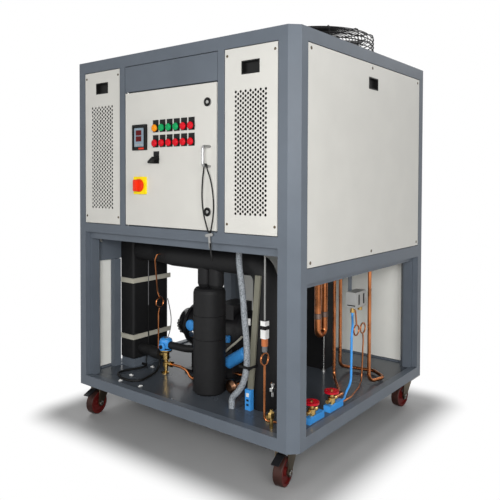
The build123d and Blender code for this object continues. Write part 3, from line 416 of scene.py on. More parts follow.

# The floor plate's top takes the darker slate: painted shade inside the bay.
dress("base_tray", bay_shade_floor_paint, lambda x, y, z, n: n.z > LEVEL and abs(z - FLOOR_TOP) < 1)
dress("service_valves", sky_blue, lambda x, y, z, n: z < VALVE_FOOT_TOP)
dress("cable_channel", sky_blue, lambda x, y, z, n: z < CHANNEL_FOOT_TOP)
dress("pressure_switch", brass, lambda x, y, z, n: z < SWITCH_NUTS_TOP)
dress("pressure_switch", slate, lambda x, y, z, n: z > SWITCH_BRACKET_LOW)
dress("door_fittings", black_plastic, lambda x, y, z, n: lock_reach(x, z) < LOCK_RIM)
# The inner faces of the side and rear panels take the lighter ivory: painted light inside the bay.
dress(
    "side_panels",
    lit_inner_ivory,
    lambda x, y, z, n: n.x * (x - WIDTH / 2) < FACING_IN * abs(x - WIDTH / 2),
)
dress("rear_panels", lit_inner_ivory, lambda x, y, z, n: n.y < FACING_IN)
dress("sensor_stack", pale_sheath, lambda x, y, z, n: z > SHEATH_LOW)
dress("sensor_stack", orange_plastic, lambda x, y, z, n: CAP_LOW < z < CAP_TOP and abs(n.z) < LEVEL)
dress("sensor_stack", braid, lambda x, y, z, n: z < BRAID_TOP)
dress(
    "sensor_stack",
    white_plastic,
    lambda x, y, z, n: HOUSING_LOW < z < HOUSING_TOP
    and max(abs(x - SENSOR[0]), abs(y - SENSOR[1])) > HOUSING_CORE,
)
for corner in CASTERS:
    pivot, trailing, axle = caster_frame(corner)
    centre = pivot + trailing * TRAIL + Vector((0, 0, AXLE_Z))
    dress(
        f"caster_wheel_{corner}",
        tread_brown,
        lambda x, y, z, n: (Vector((x, y, z)) - centre).cross(axle).length > TREAD_RADIUS,
    )
    dress(
        f"caster_fork_{corner}",
        black_paint,
        lambda x, y, z, n: (Vector((x, y, 0)) - pivot).dot(trailing) > PEDAL_START and z > PEDAL_LOW,
    )

# Shapes


def enter(name, data, material, body, replaced):
    """Add a mesh or a curve to the model as one piece that rides on a body."""
    data.materials.append(material)
    thing = bpy.data.objects.new(name, data)
    bpy.context.scene.collection.objects.link(thing)
    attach(thing, body)
    if replaced:
        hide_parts(*replaced)
    return thing


def piece(name, mesh, material, body, replaced=(), smooth=False):
    """Finish a mesh as one piece of the model."""
    data = bpy.data.meshes.new(name)
    bmesh.ops.recalc_face_normals(mesh, faces=mesh.faces)
    mesh.to_mesh(data)
    mesh.free()
    for polygon in data.polygons:
        polygon.use_smooth = smooth
    enter(name, data, material, body, replaced)


def block(mesh, low, high, bevel=0.0):
    """Add a box between two places of the cabinet, its edges eased in millimetres."""
    first, last = spot(*low), spot(*high)
    made = bmesh.ops.create_cube(mesh, size=1.0)["verts"]
    bmesh.ops.scale(mesh, vec=last - first, verts=made)
    bmesh.ops.translate(mesh, vec=(first + last) / 2, verts=made)
    if bevel:
        edges = {edge for vertex in made for edge in vertex.link_edges}
        bmesh.ops.bevel(
            mesh, geom=list(edges), offset=bevel / 1000, segments=2, profile=0.5, affect="EDGES"
        )


def facing(axis):
    """Give the turn that lays a piece built along Z onto another axis."""
    return Vector((0, 0, 1)).rotation_difference(Vector(axis)).to_matrix().to_4x4()


def turn_on(mesh, centre, profile, axis=(0, 0, 1), sides=32):
    """Add a turned form: radii and heights in millimetres along an axis from its centre."""
    place = Matrix.Translation(spot(*centre)) @ facing(axis)
    rings = []
    for radius, height in profile:
        ring = []
        for step in range(sides):
            turn = tau * step / sides
            point = Vector((radius * cos(turn), radius * sin(turn), height)) / 1000
            ring.append(mesh.verts.new(place @ point))
        rings.append(ring)
    for lower, upper in zip(rings, rings[1:]):
        for step in range(sides):
            after = (step + 1) % sides
            mesh.faces.new((lower[step], lower[after], upper[after], upper[step]))
    mesh.faces.new(list(reversed(rings[0])))
    mesh.faces.new(rings[-1])


def line(name, points, diameter, material, body, replaced=()):
    """Add a round wire, pipe or cable along a smooth line through places of the cabinet."""
    data = bpy.data.curves.new(name, "CURVE")
    data.dimensions = "3D"
    data.bevel_depth = diameter / 2000
    data.bevel_resolution = 3
    data.resolution_u = 8
    data.use_fill_caps = True
    spline = data.splines.new("NURBS")
    spline.points.add(len(points) - 1)
    for point, place in zip(spline.points, points):
        point.co = (*spot(*place), 1.0)
    spline.order_u = 3
    spline.use_endpoint_u = True
    return enter(name, data, material, body, replaced)


def ring_wire(mesh, centre, radius, wire, sides=96, around=8):
    """Add a closed round wire ring lying flat, sizes in millimetres."""
    middle = spot(*centre)
    rows = []
    for step in range(sides):
        turn = tau * step / sides
        out = Vector((cos(turn), sin(turn), 0))
        row = []
        for part in range(around):
            lean = tau * part / around
            offset = out * (radius + wire / 2 * cos(lean)) + Vector((0, 0, wire / 2 * sin(lean)))
            row.append(mesh.verts.new(middle + offset / 1000))
        rows.append(row)
    for step in range(sides):
        after = rows[(step + 1) % sides]
        for part in range(around):
            beside = (part + 1) % around
            mesh.faces.new((rows[step][part], after[part], after[beside], rows[step][beside]))


def rod(mesh, points, wire, around=8):
    """Add a round rod along straight runs between places, sizes in millimetres."""
    places = [spot(*point) for point in points]
    rows = []
    for index, middle in enumerate(places):
        before = places[max(index - 1, 0)]
        after = places[min(index + 1, len(places) - 1)]
        along = (after - before).normalized()
        turned = Vector((0, 0, 1)).rotation_difference(along).to_matrix()
        row = []
        for part in range(around):
            lean = tau * part / around
            reach = turned @ Vector((cos(lean), sin(lean), 0)) * wire / 2000
            row.append(mesh.verts.new(middle + reach))
        rows.append(row)
    for lower, upper in zip(rows, rows[1:]):
        for part in range(around):
            beside = (part + 1) % around
            mesh.faces.new((lower[part], lower[beside], upper[beside], upper[part]))
    mesh.faces.new(list(reversed(rows[0])))
    mesh.faces.new(rows[-1])


# Camera, from the photograph's own frame
FOCAL_PIXELS = 589.9
IMAGE_PIXELS = 500
AXIS_ROW = 195.5
CAMERA_PLACE = (2052.5, -1463.6, 832.8)
CAMERA_YAW, CAMERA_PITCH, CAMERA_ROLL = 38.03, 1.47, 0.18
camera_data = bpy.data.cameras.new("photo_view")
camera_data.sensor_width = 36.0
camera_data.lens = FOCAL_PIXELS / IMAGE_PIXELS * camera_data.sensor_width
camera_data.shift_y = (AXIS_ROW - IMAGE_PIXELS / 2) / IMAGE_PIXELS
camera_data.clip_end = 50.0
camera = bpy.data.objects.new("photo_view", camera_data)
bpy.context.scene.collection.objects.link(camera)
camera.matrix_world = (
    Matrix.Translation(spot(*CAMERA_PLACE))
    @ Matrix.Rotation(radians(CAMERA_YAW), 4, "Z")
    @ Matrix.Rotation(radians(90 - CAMERA_PITCH), 4, "X")
    @ Matrix.Rotation(radians(CAMERA_ROLL), 4, "Z")
)
bpy.context.scene.camera = camera
bpy.context.scene.view_settings.view_transform = "Standard"

# The key's cord on the door handle
CORD = 5
HANDLE_X, ROD_Z = 738, 879
CORD_SIDE = 7.05
CORD_FRONT = -22
CORD_TURN = ROD_Z - 11
cord_route = [
    (767, CORD_FRONT + 6, 773.5),
    (766, CORD_FRONT + 5, 797),
    (757, CORD_FRONT + 2, 842),
    (HANDLE_X + CORD_SIDE, CORD_FRONT, CORD_TURN),
    (HANDLE_X + CORD_SIDE, CORD_FRONT, ROD_Z + CORD_SIDE),
    (HANDLE_X - CORD_SIDE, CORD_FRONT, ROD_Z + CORD_SIDE),
    (HANDLE_X - CORD_SIDE, CORD_FRONT, CORD_TURN),
    (724, CORD_FRONT + 2, 842),
    (718, CORD_FRONT + 5, 800),
    (716, CORD_FRONT + 8, 755),
    (721, CORD_FRONT + 12, 712),
    (730, CORD_FRONT + 15, 679),
    (735, CORD_FRONT + 17, 660),
    (746, CORD_FRONT + 17, 658),
    (751, CORD_FRONT + 15, 675),
    (761, CORD_FRONT + 12, 708),
    (768, CORD_FRONT + 8, 750),
    (767, CORD_FRONT + 6, 773.2),
]
lanyard = line("key_cord", cord_route, CORD, cable_black, "door", ("key_lanyard",))
spot(*cord_route[0])

# Floor: a dark grey close to the object, a painted shadow over its real shadow, and white beyond
FLOOR_HALF = 12.0
# The floor's grey tone near the object is a painted shadow; the cloud is random tone.
FLOOR_SHADOW_TONE, FLOOR_CLOUD = 0.36, 0.03
SHADOW_NEAR, SHADOW_FAR = 0.03, 0.20
floor_mesh = bmesh.new()
bmesh.ops.create_grid(floor_mesh, x_segments=1, y_segments=1, size=FLOOR_HALF)
floor_data = bpy.data.meshes.new("floor")
floor_mesh.to_mesh(floor_data)
floor_mesh.free()
studio = Paint("studio_floor", Roughness=0.8, Specular_IOR_Level=0.2)
shadow_grey_stops = (
    (0.3, tint((1, 1, 1), FLOOR_SHADOW_TONE)),
    (0.7, tint((1, 1, 1), FLOOR_SHADOW_TONE + FLOOR_CLOUD)),
)
studio.colour(studio.steps(studio.noise(3.0), *shadow_grey_stops))
past_side = (studio.axis("X").size() - WIDTH / 2000).most(0.0)
past_front = (studio.axis("Y").size() - DEPTH / 2000).most(0.0)
away = (past_side * past_side + past_front * past_front).root()
# The fade ends the painted shadow: away from the footprint the floor turns white.
shadow_fade = studio.add(
    "ShaderNodeMapRange",
    {"interpolation_type": "SMOOTHSTEP"},
    {"Value": away, "From Min": SHADOW_NEAR, "From Max": SHADOW_FAR},
    output="Result",
)
looked_at = studio.ray("Is Camera Ray").most(studio.ray("Is Glossy Ray"))
looked_at = looked_at.most(studio.ray("Is Transmission Ray"))
white = studio.add("ShaderNodeEmission", inputs={"Strength": 1.0}, output="Emission")
lit = Wire(studio, studio.shader.outputs["BSDF"])
blended = studio.add(
    "ShaderNodeMixShader", inputs={0: shadow_fade * looked_at, 1: lit, 2: white}, output="Shader"
)
studio.tree.links.new(blended.socket, studio.tree.nodes["Material Output"].inputs["Surface"])
floor_data.materials.append(studio.material)
floor = bpy.data.objects.new("floor", floor_data)
bpy.context.scene.collection.objects.link(floor)


def lamp(name, place, aim, power, size):
    """Add a soft square lamp that looks at a point."""
    data = bpy.data.lights.new(name, "AREA")
    data.energy = power
    data.size = size
    thing = bpy.data.objects.new(name, data)
    bpy.context.scene.collection.objects.link(thing)
    thing.location = place
    thing.rotation_euler = (Vector(aim) - Vector(place)).to_track_quat("-Z", "Y").to_euler()


# Each lamp's place and aim in metres, its power in watts and its width in metres
LAMPS = (
    ("key_light", (1.6, -2.4, 1.15), (0.1, 0, 0.6), 42, 0.8),
    ("corner_light", (3.2, -2.2, 1.5), (0.2, 0, 0.7), 47, 1.2),
    ("side_light", (3.8, -0.3, 1.7), (0, 0, 0.8), 10, 1.6),
    ("front_light", (-1.0, -2.9, 1.3), (0, 0, 0.7), 14, 1.4),
    ("rear_light", (0.6, 3.0, 3.0), (0, 0, 0.7), 75, 2.0),
    ("left_light", (-3.2, 0.8, 3.0), (0, 0, 0.7), 75, 2.0),
)
for settings in LAMPS:
    lamp(*settings)

# Sky: even light, and plain white where it is seen directly or mirrored
WORLD_LIGHT = 0.15
world = bpy.data.worlds.new("studio")
world.use_nodes = True
bpy.context.scene.world = world
sky = world.node_tree
background = sky.nodes["Background"]
background.inputs["Color"].default_value = (1, 1, 1, 1)
rays = sky.nodes.new("ShaderNodeLightPath")
seen = rays.outputs["Is Camera Ray"]
for ray in ("Is Glossy Ray", "Is Transmission Ray"):
    either = sky.nodes.new("ShaderNodeMath")
    either.operation = "MAXIMUM"
    sky.links.new(seen, either.inputs[0])
    sky.links.new(rays.outputs[ray], either.inputs[1])
    seen = either.outputs[0]
level = sky.nodes.new("ShaderNodeMath")
level.operation = "MULTIPLY_ADD"
sky.links.new(seen, level.inputs[0])
level.inputs[1].default_value = 1 - WORLD_LIGHT
level.inputs[2].default_value = WORLD_LIGHT
sky.links.new(level.outputs[0], background.inputs["Strength"])

# Grille panels
PULL_WIDTH, PULL_LOW, PULL_HEIGHT = 72, 1168, 43
HOLE_ACROSS, HOLE_UP = 10.0, 15.0
HOLE_RADIUS = 4.8
HOLE_COLUMNS, HOLE_ROWS = 13, 27
LOWEST_HOLE = 725.5
HOLE_SIDES = 12
SHEET = 1.6
NEARLY_NONE = 1e-6


def punched(mesh, centre, depths):
    """Add one cell of the sheet with its round hole, front, back and bore."""
    outer, inner = [], []
    half_across, half_up = HOLE_ACROSS / 2, HOLE_UP / 2
    for side in range(HOLE_SIDES):
        turn = tau * side / HOLE_SIDES + pi / 4
        across, up = cos(turn), sin(turn)
        reach = min(
            half_across / max(abs(across), NEARLY_NONE), half_up / max(abs(up), NEARLY_NONE)
        )
        edge = (across * reach, up * reach)
        if side % (HOLE_SIDES // 4) == 0:
            edge = (half_across if across > 0 else -half_across, half_up if up > 0 else -half_up)
        outer.append((centre[0] + edge[0], centre[1] + edge[1]))
        inner.append((centre[0] + across * HOLE_RADIUS, centre[1] + up * HOLE_RADIUS))
    bores = []
    for depth in depths:
        around = [mesh.verts.new(spot(x, depth, z)) for x, z in outer]
        hole = [mesh.verts.new(spot(x, depth, z)) for x, z in inner]
        for side in range(HOLE_SIDES):
            beside = (side + 1) % HOLE_SIDES
            mesh.faces.new((around[side], around[beside], hole[beside], hole[side]))
        bores.append(hole)
    for side in range(HOLE_SIDES):
        beside = (side + 1) % HOLE_SIDES
        mesh.faces.new((bores[0][side], bores[0][beside], bores[1][beside], bores[1][side]))


def perforated(mesh, left, right, low, high):
    """Add a grille's flat front: a plain border round a staggered field of round holes."""
    depths = (REVEAL, REVEAL + SHEET)

    def plain(first_x, last_x, first_z, last_z):
        corners = ((first_x, first_z), (last_x, first_z), (last_x, last_z), (first_x, last_z))
        for depth in depths:
            mesh.faces.new([mesh.verts.new(spot(x, depth, z)) for x, z in corners])

    middle = (left + right) / 2
    half_field = HOLE_COLUMNS * HOLE_ACROSS / 2
    field_left, field_right = middle - half_field, middle + half_field
    field_low = LOWEST_HOLE - HOLE_UP / 2
    field_top = field_low + HOLE_ROWS * HOLE_UP
    cut_left, cut_right = middle - PULL_WIDTH / 2, middle + PULL_WIDTH / 2
    cut_top = PULL_LOW + PULL_HEIGHT
    plain(left, right, low, field_low)
    plain(left, field_left, field_low, field_top)
    plain(field_right, right, field_low, field_top)
    plain(left, right, field_top, PULL_LOW)
    plain(left, cut_left, PULL_LOW, high)
    plain(cut_right, right, PULL_LOW, high)
    plain(cut_left, cut_right, cut_top, high)
    for column in range(HOLE_COLUMNS):
        across = field_left + (column + 0.5) * HOLE_ACROSS
        short = column % 2
        lowest = LOWEST_HOLE + short * HOLE_UP / 2
        for row in range(HOLE_ROWS - short):
            punched(mesh, (across, lowest + row * HOLE_UP), depths)
        if short:
            sides = (across - HOLE_ACROSS / 2, across + HOLE_ACROSS / 2)
            plain(*sides, field_low, field_low + HOLE_UP / 2)
            plain(*sides, field_top - HOLE_UP / 2, field_top)


def returns(mesh, left, right, low, high):
    """Add the four folded edges that carry a panel's front back into its rebate."""
    back = REVEAL + SHEET
    block(mesh, (left, back, low), (left + SHEET, REBATE, high))
    block(mesh, (right - SHEET, back, low), (right, REBATE, high))
    block(mesh, (left + SHEET, back, low), (right - SHEET, REBATE, low + SHEET))
    block(mesh, (left + SHEET, back, high - SHEET), (right - SHEET, REBATE, high))


GRILLE_LEFTS = (POST_FACE, WIDTH - POST_FACE - GRILLE_WIDTH)
grille = bmesh.new()
for grille_left in GRILLE_LEFTS:
    sides_x = (grille_left + PANEL_GAP, grille_left + GRILLE_WIDTH - PANEL_GAP)
    heights = (FRONT_LOW + PANEL_GAP, PANEL_TOP - PANEL_GAP)
    perforated(grille, *sides_x, *heights)
    returns(grille, *sides_x, *heights)
piece("perforated_grilles", grille, ivory, "cabinet", ("grille_panels",))

# Fan guards
FAN_X, FAN_Y = (250, 830), 500
GUARD_RADIUS, GUARD_LOW, GUARD_TOP = 230, 1305, 1380
GUARD_WIRE = 4.2
GUARD_SHOULDER = 14
GUARD_SPOKES, GUARD_RINGS, SIDE_RINGS = 12, 15, 5
RING_WIRE = GUARD_WIRE * 0.8
LOWEST_RING = GUARD_LOW + 3
HUB_PLATE, HUB_LAP = 46, 6
SHAFT_RADIUS, SHAFT_LOW = 8, 1329
for side, fan_x in zip(("left", "right"), FAN_X):
    cage = bmesh.new()
    top_centre = GUARD_TOP - GUARD_WIRE / 2
    inmost, outmost = HUB_PLATE + HUB_LAP, GUARD_RADIUS - GUARD_SHOULDER
    highest_ring = GUARD_TOP - GUARD_SHOULDER
    for count in range(GUARD_RINGS):
        radius = inmost + (outmost - inmost) * count / (GUARD_RINGS - 1)
        ring_wire(cage, (fan_x, FAN_Y, top_centre - GUARD_WIRE * 0.9), radius, RING_WIRE)
    for count in range(SIDE_RINGS):
        height = LOWEST_RING + count * (highest_ring - LOWEST_RING) / (SIDE_RINGS - 1)
        ring_wire(cage, (fan_x, FAN_Y, height), GUARD_RADIUS - GUARD_WIRE * 1.2, GUARD_WIRE)
    for count in range(GUARD_SPOKES):
        turn = tau * (count + 0.5) / GUARD_SPOKES
        across, along = cos(turn), sin(turn)
        stations = (
            (HUB_PLATE - HUB_LAP, top_centre),
            (outmost, top_centre),
            (GUARD_RADIUS - GUARD_SHOULDER / 3, top_centre - GUARD_SHOULDER / 3),
            (GUARD_RADIUS - GUARD_WIRE / 2, top_centre - GUARD_SHOULDER),
            (GUARD_RADIUS - GUARD_WIRE / 2, GUARD_LOW),
        )
        rod(cage, [(fan_x + r * across, FAN_Y + r * along, z) for r, z in stations], GUARD_WIRE)
    plate = (
        (HUB_PLATE - 8, GUARD_TOP - 16),
        (HUB_PLATE, GUARD_TOP - 12),
        (HUB_PLATE, GUARD_TOP - 2),
        (HUB_PLATE - 3, GUARD_TOP),
    )
    turn_on(cage, (fan_x, FAN_Y, 0), plate, sides=40)
    shaft = ((SHAFT_RADIUS, SHAFT_LOW), (SHAFT_RADIUS, GUARD_TOP - 14))
    turn_on(cage, (fan_x, FAN_Y, 0), shaft, sides=20)
    piece(f"fan_guard_{side}", cage, black_paint, "cabinet", ("fan_guards",), smooth=True)

# Pilot lamps
LAMP_PITCH, LAMP_LEFT, LAMP_ROWS, LAMP_COUNT = 35.4, 478, (1019, 965), 6
LAMP_STAND = 5
LENS_COLOURS = (
    (orange_lens, green_lens, green_lens, green_lens, red_lens, red_lens),
    (red_lens,) * LAMP_COUNT,
)
DOME = [(13, LAMP_STAND), (13, 9.5), (12.4, 11.2), (10.6, 12.4), (7.5, 13), (3, 13)]
BEZEL = [(15, 0.2), (15, LAMP_STAND), (14.5, LAMP_STAND + 2), (13.2, LAMP_STAND + 2), (13.1, 1)]
FORWARD = (0, -1, 0)
lens_groups = {}
bezels = bmesh.new()
for row, colours in zip(LAMP_ROWS, LENS_COLOURS):
    for column, lens in enumerate(colours):
        centre = (LAMP_LEFT + LAMP_PITCH * column, 0, row)
        turn_on(bezels, centre, BEZEL, FORWARD, 32)
        turn_on(lens_groups.setdefault(lens, bmesh.new()), centre, DOME, FORWARD, 28)
for lens, domes in lens_groups.items():
    hue = lens.name.split("_")[0]
    piece(f"lens_{hue}", domes, lens, "door", ("pilot_lenses",), smooth=True)
piece("lamp_bezels", bezels, black_plastic, "door")

# Temperature controller
SCREEN_X, SCREEN_Z = 395, 989
SCREEN_HALF = (25, 34)
SCREEN_BACK, SCREEN_FRONT = -6.9, -7.6
WINDOW_BACK, WINDOW_FRONT = -7.5, -8.2
face = bmesh.new()
block(
    face,
    (SCREEN_X - SCREEN_HALF[0], SCREEN_FRONT, SCREEN_Z - SCREEN_HALF[1]),
    (SCREEN_X + SCREEN_HALF[0], SCREEN_BACK, SCREEN_Z + SCREEN_HALF[1]),
    0.2,
)
piece("controller_face", face, screen_grey, "door")
windows = bmesh.new()
for low in (SCREEN_Z + 7, SCREEN_Z - 15):
    block(windows, (SCREEN_X - 16, WINDOW_FRONT, low), (SCREEN_X + 14, WINDOW_BACK, low + 19), 0.2)
piece("controller_windows", windows, display, "door")
KEY_FRONT, KEY_PITCH, KEY_WIDTH = -8.4, 14, 10
keys = bmesh.new()
for count in range(3):
    left = SCREEN_X - 20 + count * KEY_PITCH
    block(keys, (left, KEY_FRONT, SCREEN_Z - 30), (left + KEY_WIDTH, WINDOW_BACK, SCREEN_Z - 24), 0.5)
piece("controller_keys", keys, grey_plastic, "door")
STRIP_FRONT = -7.7
strip = bmesh.new()
block(
    strip,
    (SCREEN_X - 2, STRIP_FRONT, SCREEN_Z - 44),
    (SCREEN_X + 26, SCREEN_BACK, SCREEN_Z - 38),
    0.2,
)
piece("controller_strip", strip, red_plastic, "door")


def nut(mesh, centre, across, height, axis=(0, 0, 1)):
    """Add a hexagon nut with eased corners."""
    corner = across / 2 / cos(pi / 6)
    eased = corner * 0.92
    profile = ((eased, 0), (corner, height * 0.12), (corner, height * 0.88), (eased, height))
    turn_on(mesh, centre, profile, axis, 6)


def dome_screw(mesh, centre, axis, radius, height):
    """Add a domed screw head with a washer and a dished drive."""
    profile = [
        (radius * 1.25, 0),
        (radius * 1.25, height * 0.25),
        (radius, height * 0.3),
        (radius * 0.9, height * 0.7),
        (radius * 0.6, height),
        (radius * 0.35, height),
        (radius * 0.3, height * 0.5),
    ]
    turn_on(mesh, centre, profile, axis, 16)


# Panel screws: proud on the front, shallow in the panels' reveal on the other sides
SIDES = {
    "rear": (lambda along, up: (along, DEPTH - REVEAL, up), (0, 1, 0), WIDTH),
    "left": (lambda along, up: (REVEAL, along, up), (-1, 0, 0), DEPTH),
    "right": (lambda along, up: (WIDTH - REVEAL, along, up), (1, 0, 0), DEPTH),
}
GRILLE_SCREW, SIDE_SCREW = 3.6, 4.6
GRILLE_SCREW_EDGE = 12
GRILLE_SCREW_HEIGHTS = (690, 1233)
dark_screws = bmesh.new()
for grille_left in GRILLE_LEFTS:
    for along in (grille_left + GRILLE_SCREW_EDGE, grille_left + GRILLE_WIDTH - GRILLE_SCREW_EDGE):
        for up in GRILLE_SCREW_HEIGHTS:
            dome_screw(dark_screws, (along, REVEAL, up), FORWARD, GRILLE_SCREW, 2.0)
piece("grille_screws", dark_screws, bronze, "cabinet")
SIDE_SCREW_EDGE = 20
SIDE_SCREW_HEIGHTS = (SIDE_LOW + 17, PANEL_TOP - 17)
side_screws = bmesh.new()
for place, outward, length in SIDES.values():
    for along in (POST_FACE + SIDE_SCREW_EDGE, length / 2, length - POST_FACE - SIDE_SCREW_EDGE):
        for up in SIDE_SCREW_HEIGHTS:
            dome_screw(side_screws, place(along, up), outward, SIDE_SCREW, REVEAL)
piece("side_screws", side_screws, bronze, "cabinet")

# Locks: a slotted barrel in each escutcheon
BARREL = [(6.0, 3.4), (6.0, 4.6), (5.2, 5.2), (3, 5.2)]
SLOT_HALF, SLOT_THICKNESS = 5, 2.8
SLOT_BACK, SLOT_FRONT = -5.1, -6.4
slots = bmesh.new()
for across, up in LOCKS:
    turn_on(slots, (across, 0, up), BARREL, FORWARD, 24)
    low, high = up - SLOT_THICKNESS / 2, up + SLOT_THICKNESS / 2
    block(slots, (across - SLOT_HALF, SLOT_FRONT, low), (across + SLOT_HALF, SLOT_BACK, high), 0.4)
piece("lock_barrels", slots, zinc, "door")

# The key's strap, from the key's foot down past the rail
STRAP_THICKNESS = 5.6
strap = bmesh.new()
rod(strap, [(746, -7, 624), (748, -8, 606), (752, -8, 586), (757, -8, 566)], STRAP_THICKNESS)
piece("key_strap", strap, cable_black, "door", smooth=True)

# Wires that hang in the left of the bay, with their thicknesses
STEM_X, STEM_Y = 140, 270
UPPER_WIRE, LOWER_WIRE, LEAD_WIRE = 3.4, 4.4, 4.0
line(
    "probe_wire_upper",
    [(STEM_X, STEM_Y, z) for z in (596, 500, 400, 290)],
    UPPER_WIRE,
    braid,
    "cabinet",
)
line(
    "probe_wire_lower",
    [
        (STEM_X, STEM_Y, 292),
        (STEM_X, STEM_Y, 220),
        (STEM_X + 1, STEM_Y, 120),
        (STEM_X + 14, STEM_Y - 30, 46),
        (STEM_X + 46, STEM_Y - 50, 38),
    ],
    LOWER_WIRE,
    cable_black,
    "cabinet",
)
line(
    "evaporator_lead",
    [(132, 392, 300), (134, 398, 275), (134, 411, 222), (134, 412, 189), (134, 407, 154), (132, 395, 126)],
    LEAD_WIRE,
    braid,
    "cabinet",
)

# Clips of the floor cable, each a foot and a smaller head, and the clip beside the channel
CLIP_HEIGHT = 41
CLIP_LONG, CLIP_SHORT = 8, 5
CLIPS_ALONG_X = ((199, 122), (189, 248))
CLIPS_ALONG_Y = ((217, 51), (327, 58))
CHANNEL_CLIP = ((778, 148, 326), (793, 153, 350))
clips = bmesh.new()
for places, half_x, half_y in (
    (CLIPS_ALONG_Y, CLIP_SHORT, CLIP_LONG),
    (CLIPS_ALONG_X, CLIP_LONG, CLIP_SHORT),
):
    for x, y in places:
        block(clips, (x - half_x, y - half_y, FLOOR_TOP), (x + half_x, y + half_y, FLOOR_TOP + 3), 0.8)
        block(
            clips,
            (x - half_x / 2, y - half_y / 2, FLOOR_TOP + 2),
            (x + half_x / 2, y + half_y / 2, CLIP_HEIGHT),
            1.5,
        )
block(clips, *CHANNEL_CLIP, 1.5)
piece("cable_clips", clips, white_plastic, "cabinet")

# The tie round the conduit and the channel: four runs of band and its lock
TIE_LOW, TIE_TOP, TIE_BAND = 188, 197, 3
TIE_LEFT, TIE_RIGHT, TIE_FRONT, TIE_REAR = 780, 828, 103, 153
TIE_RUNS = (
    (TIE_LEFT, TIE_FRONT, TIE_RIGHT, TIE_FRONT + TIE_BAND),
    (TIE_LEFT, TIE_FRONT + TIE_BAND, TIE_LEFT + TIE_BAND, TIE_REAR - TIE_BAND),
    (TIE_RIGHT - TIE_BAND, TIE_FRONT + TIE_BAND, TIE_RIGHT, TIE_REAR - TIE_BAND),
    (TIE_LEFT, TIE_REAR - TIE_BAND, TIE_RIGHT, TIE_REAR),
)
TIE_LOCK = ((821, 99, TIE_LOW - 2), (829, 104, TIE_TOP + 2))
tie = bmesh.new()
for left, front, right, rear in TIE_RUNS:
    block(tie, (left, front, TIE_LOW), (right, rear, TIE_TOP), 0.8)
block(tie, *TIE_LOCK, 1.2)
piece("conduit_tie", tie, black_plastic, "cabinet")

# Silver fittings: the drain by the right post, the compressor's bolts and ring, the exchanger's rod,
# a screw in the floor and the bolts of the straps
DRAIN = (955, 60)
FLANGE_RADIUS, FLANGE_Y, FLANGE_Z = 92, 402, 215
FLANGE_BOLTS = ((300, 196), (292, 206), (287, 217), (285, 228), (287, 239))
ROD_FOOT = (781, 668, FLOOR_TOP)
COMPRESSOR_RING = (356, 320, 192)
FLOOR_SCREW = (522, 36, FLOOR_TOP)
STRAP_BOLT, STRAP_HEIGHTS = (36, 192), (164, 405)
silver = bmesh.new()
nut(silver, (*DRAIN, 156), 17, 12)
turn_on(silver, (*DRAIN, 168), [(4, 0), (4, 8), (6, 9), (6, 14), (3, 16)], sides=16)
turn_on(silver, (*DRAIN, 140), [(3.5, 0), (3.5, 16)], sides=12)
for across, up in FLANGE_BOLTS:
    rim = FLANGE_Y - FLANGE_RADIUS * cos((up - FLANGE_Z) / FLANGE_RADIUS)
    nut(silver, (across, rim, up), 11, 7, FORWARD)
turn_on(silver, COMPRESSOR_RING, [(15, 0), (17, 2), (17, 8), (13, 10), (6, 10)], FORWARD, 24)
turn_on(silver, ROD_FOOT, [(3, 5), (3, 149)], sides=12)
turn_on(silver, ROD_FOOT, [(11, 0), (11, 3), (6, 4), (6, 9), (3, 10)], sides=16)
nut(silver, FLOOR_SCREW, 11, 3)
for strap_height in STRAP_HEIGHTS:
    nut(silver, (*STRAP_BOLT, strap_height), 9, 5, FORWARD)
piece("bay_bolts", silver, bright, "cabinet")

# Brass fittings: the drain's valve, a nut on the floor and the foot of the expansion valve
VALVE_STEM = (951, 60)
FLOOR_NUT = (901, 119, 42)
HEAD_FOOT = (285, 230, FLOOR_TOP)
gold = bmesh.new()
nut(gold, (*VALVE_STEM, 70), 20, 16)
turn_on(gold, (*VALVE_STEM, FLOOR_TOP), [(6, 0), (6, 36), (9, 40), (9, 50), (5, 56), (5, 62)], sides=18)
nut(gold, FLOOR_NUT, 17, 14, FORWARD)
turn_on(gold, HEAD_FOOT, [(15, 0), (15, 4), (9, 6)], sides=24)
piece("bay_fittings", gold, brass, "cabinet")

# Solder rings on the large copper bend
BEND_X, BEND_LEGS, JOINT_LOW = 840, (523, 573), 288
JOINT = [(13.2, 0), (14.6, 1.5), (14.6, 20.5), (13.2, 22)]
rings = bmesh.new()
for along in BEND_LEGS:
    turn_on(rings, (BEND_X, along, JOINT_LOW), JOINT, sides=28)
piece("solder_rings", rings, solder, "cabinet")

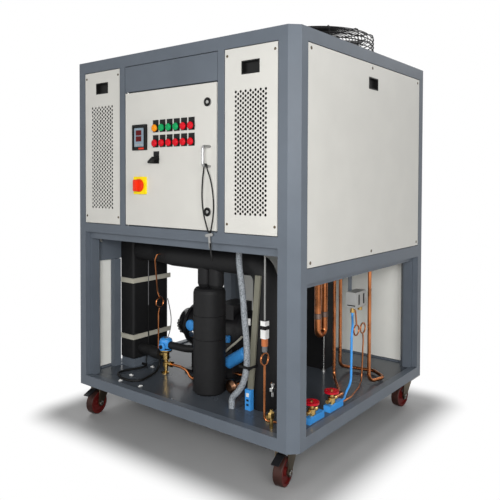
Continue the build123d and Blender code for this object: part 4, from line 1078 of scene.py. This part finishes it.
# Compressor: blue valve caps and the pale band across its rear end
FRONT_CAP = (352, 318, 228)
REAR_CAP = ((548, 296, 193), (570, 312, 220))
RIM_THICKNESS = 9
caps = bmesh.new()
turn_on(caps, FRONT_CAP, [(21, 0), (23, 2), (23, 10), (20, 14), (8, 16)], FORWARD, 28)
block(caps, *REAR_CAP, 3)
piece("compressor_caps", caps, sky_blue, "cabinet")
line(
    "compressor_rim",
    [(541, 311, 150), (556, 311, 164), (582, 311, 186), (606, 311, 205), (628, 311, 226)],
    RIM_THICKNESS,
    cream,
    "cabinet",
)

# Expansion valve: its blue power head over the brass body
HEAD_X, HEAD_Y = 290, 230
head = bmesh.new()
turn_on(
    head,
    (HEAD_X, HEAD_Y, 124),
    [(9, 0), (22, 4), (27, 12), (27, 46), (24, 54), (16, 59), (6, 60)],
    sides=32,
)
turn_on(head, (HEAD_X + 6, HEAD_Y - 26, 152), [(15, -3), (17, -1), (17, 5), (12, 8)], FORWARD, 24)
piece("valve_head", head, sky_blue, "cabinet")
band = bmesh.new()
turn_on(band, (HEAD_X, HEAD_Y, 138), [(27.3, 0), (28.2, 1), (28.2, 4), (27.3, 5)], sides=32)
turn_on(band, (HEAD_X + 6, HEAD_Y - 33, 152), [(7, 0), (8, 1), (8, 4), (5, 5)], FORWARD, 20)
piece("valve_band", band, black_plastic, "cabinet")

# Dark windows of the pressure switch and of the channel's foot, and its pale terminal
SWITCH_FACE, SWITCH_LOW, SWITCH_TOP = 993, 355, 395
FOOT_FACE = 129.9
windows = bmesh.new()
for near, far in ((569, 579), (607, 617)):
    block(windows, (SWITCH_FACE - 0.5, near, SWITCH_LOW), (SWITCH_FACE + 0.6, far, SWITCH_TOP), 0.2)
block(windows, (956, 547.5, 352), (990, 548.2, 356), 0.1)
for low in (50, 66):
    block(windows, (793, FOOT_FACE - 1, low), (803, FOOT_FACE, low + 7), 0.2)
piece("switch_windows", windows, black_plastic, "cabinet")
terminal = bmesh.new()
block(terminal, (792, FOOT_FACE - 1.5, 82), (804, FOOT_FACE, 95), 0.4)
piece("foot_terminal", terminal, white_plastic, "cabinet")

# Axle nuts on both sides of each caster's fork
for corner in CASTERS:
    pivot, trailing, axle = caster_frame(corner)
    centre = pivot + trailing * TRAIL + Vector((0, 0, AXLE_Z))
    nuts = bmesh.new()
    for way in (-1, 1):
        nut(nuts, centre + axle * way * FORK_OUTSIDE, 16, 4, axle * way)
    piece(f"axle_nuts_{corner}", nuts, bright, f"swivel_{corner}")
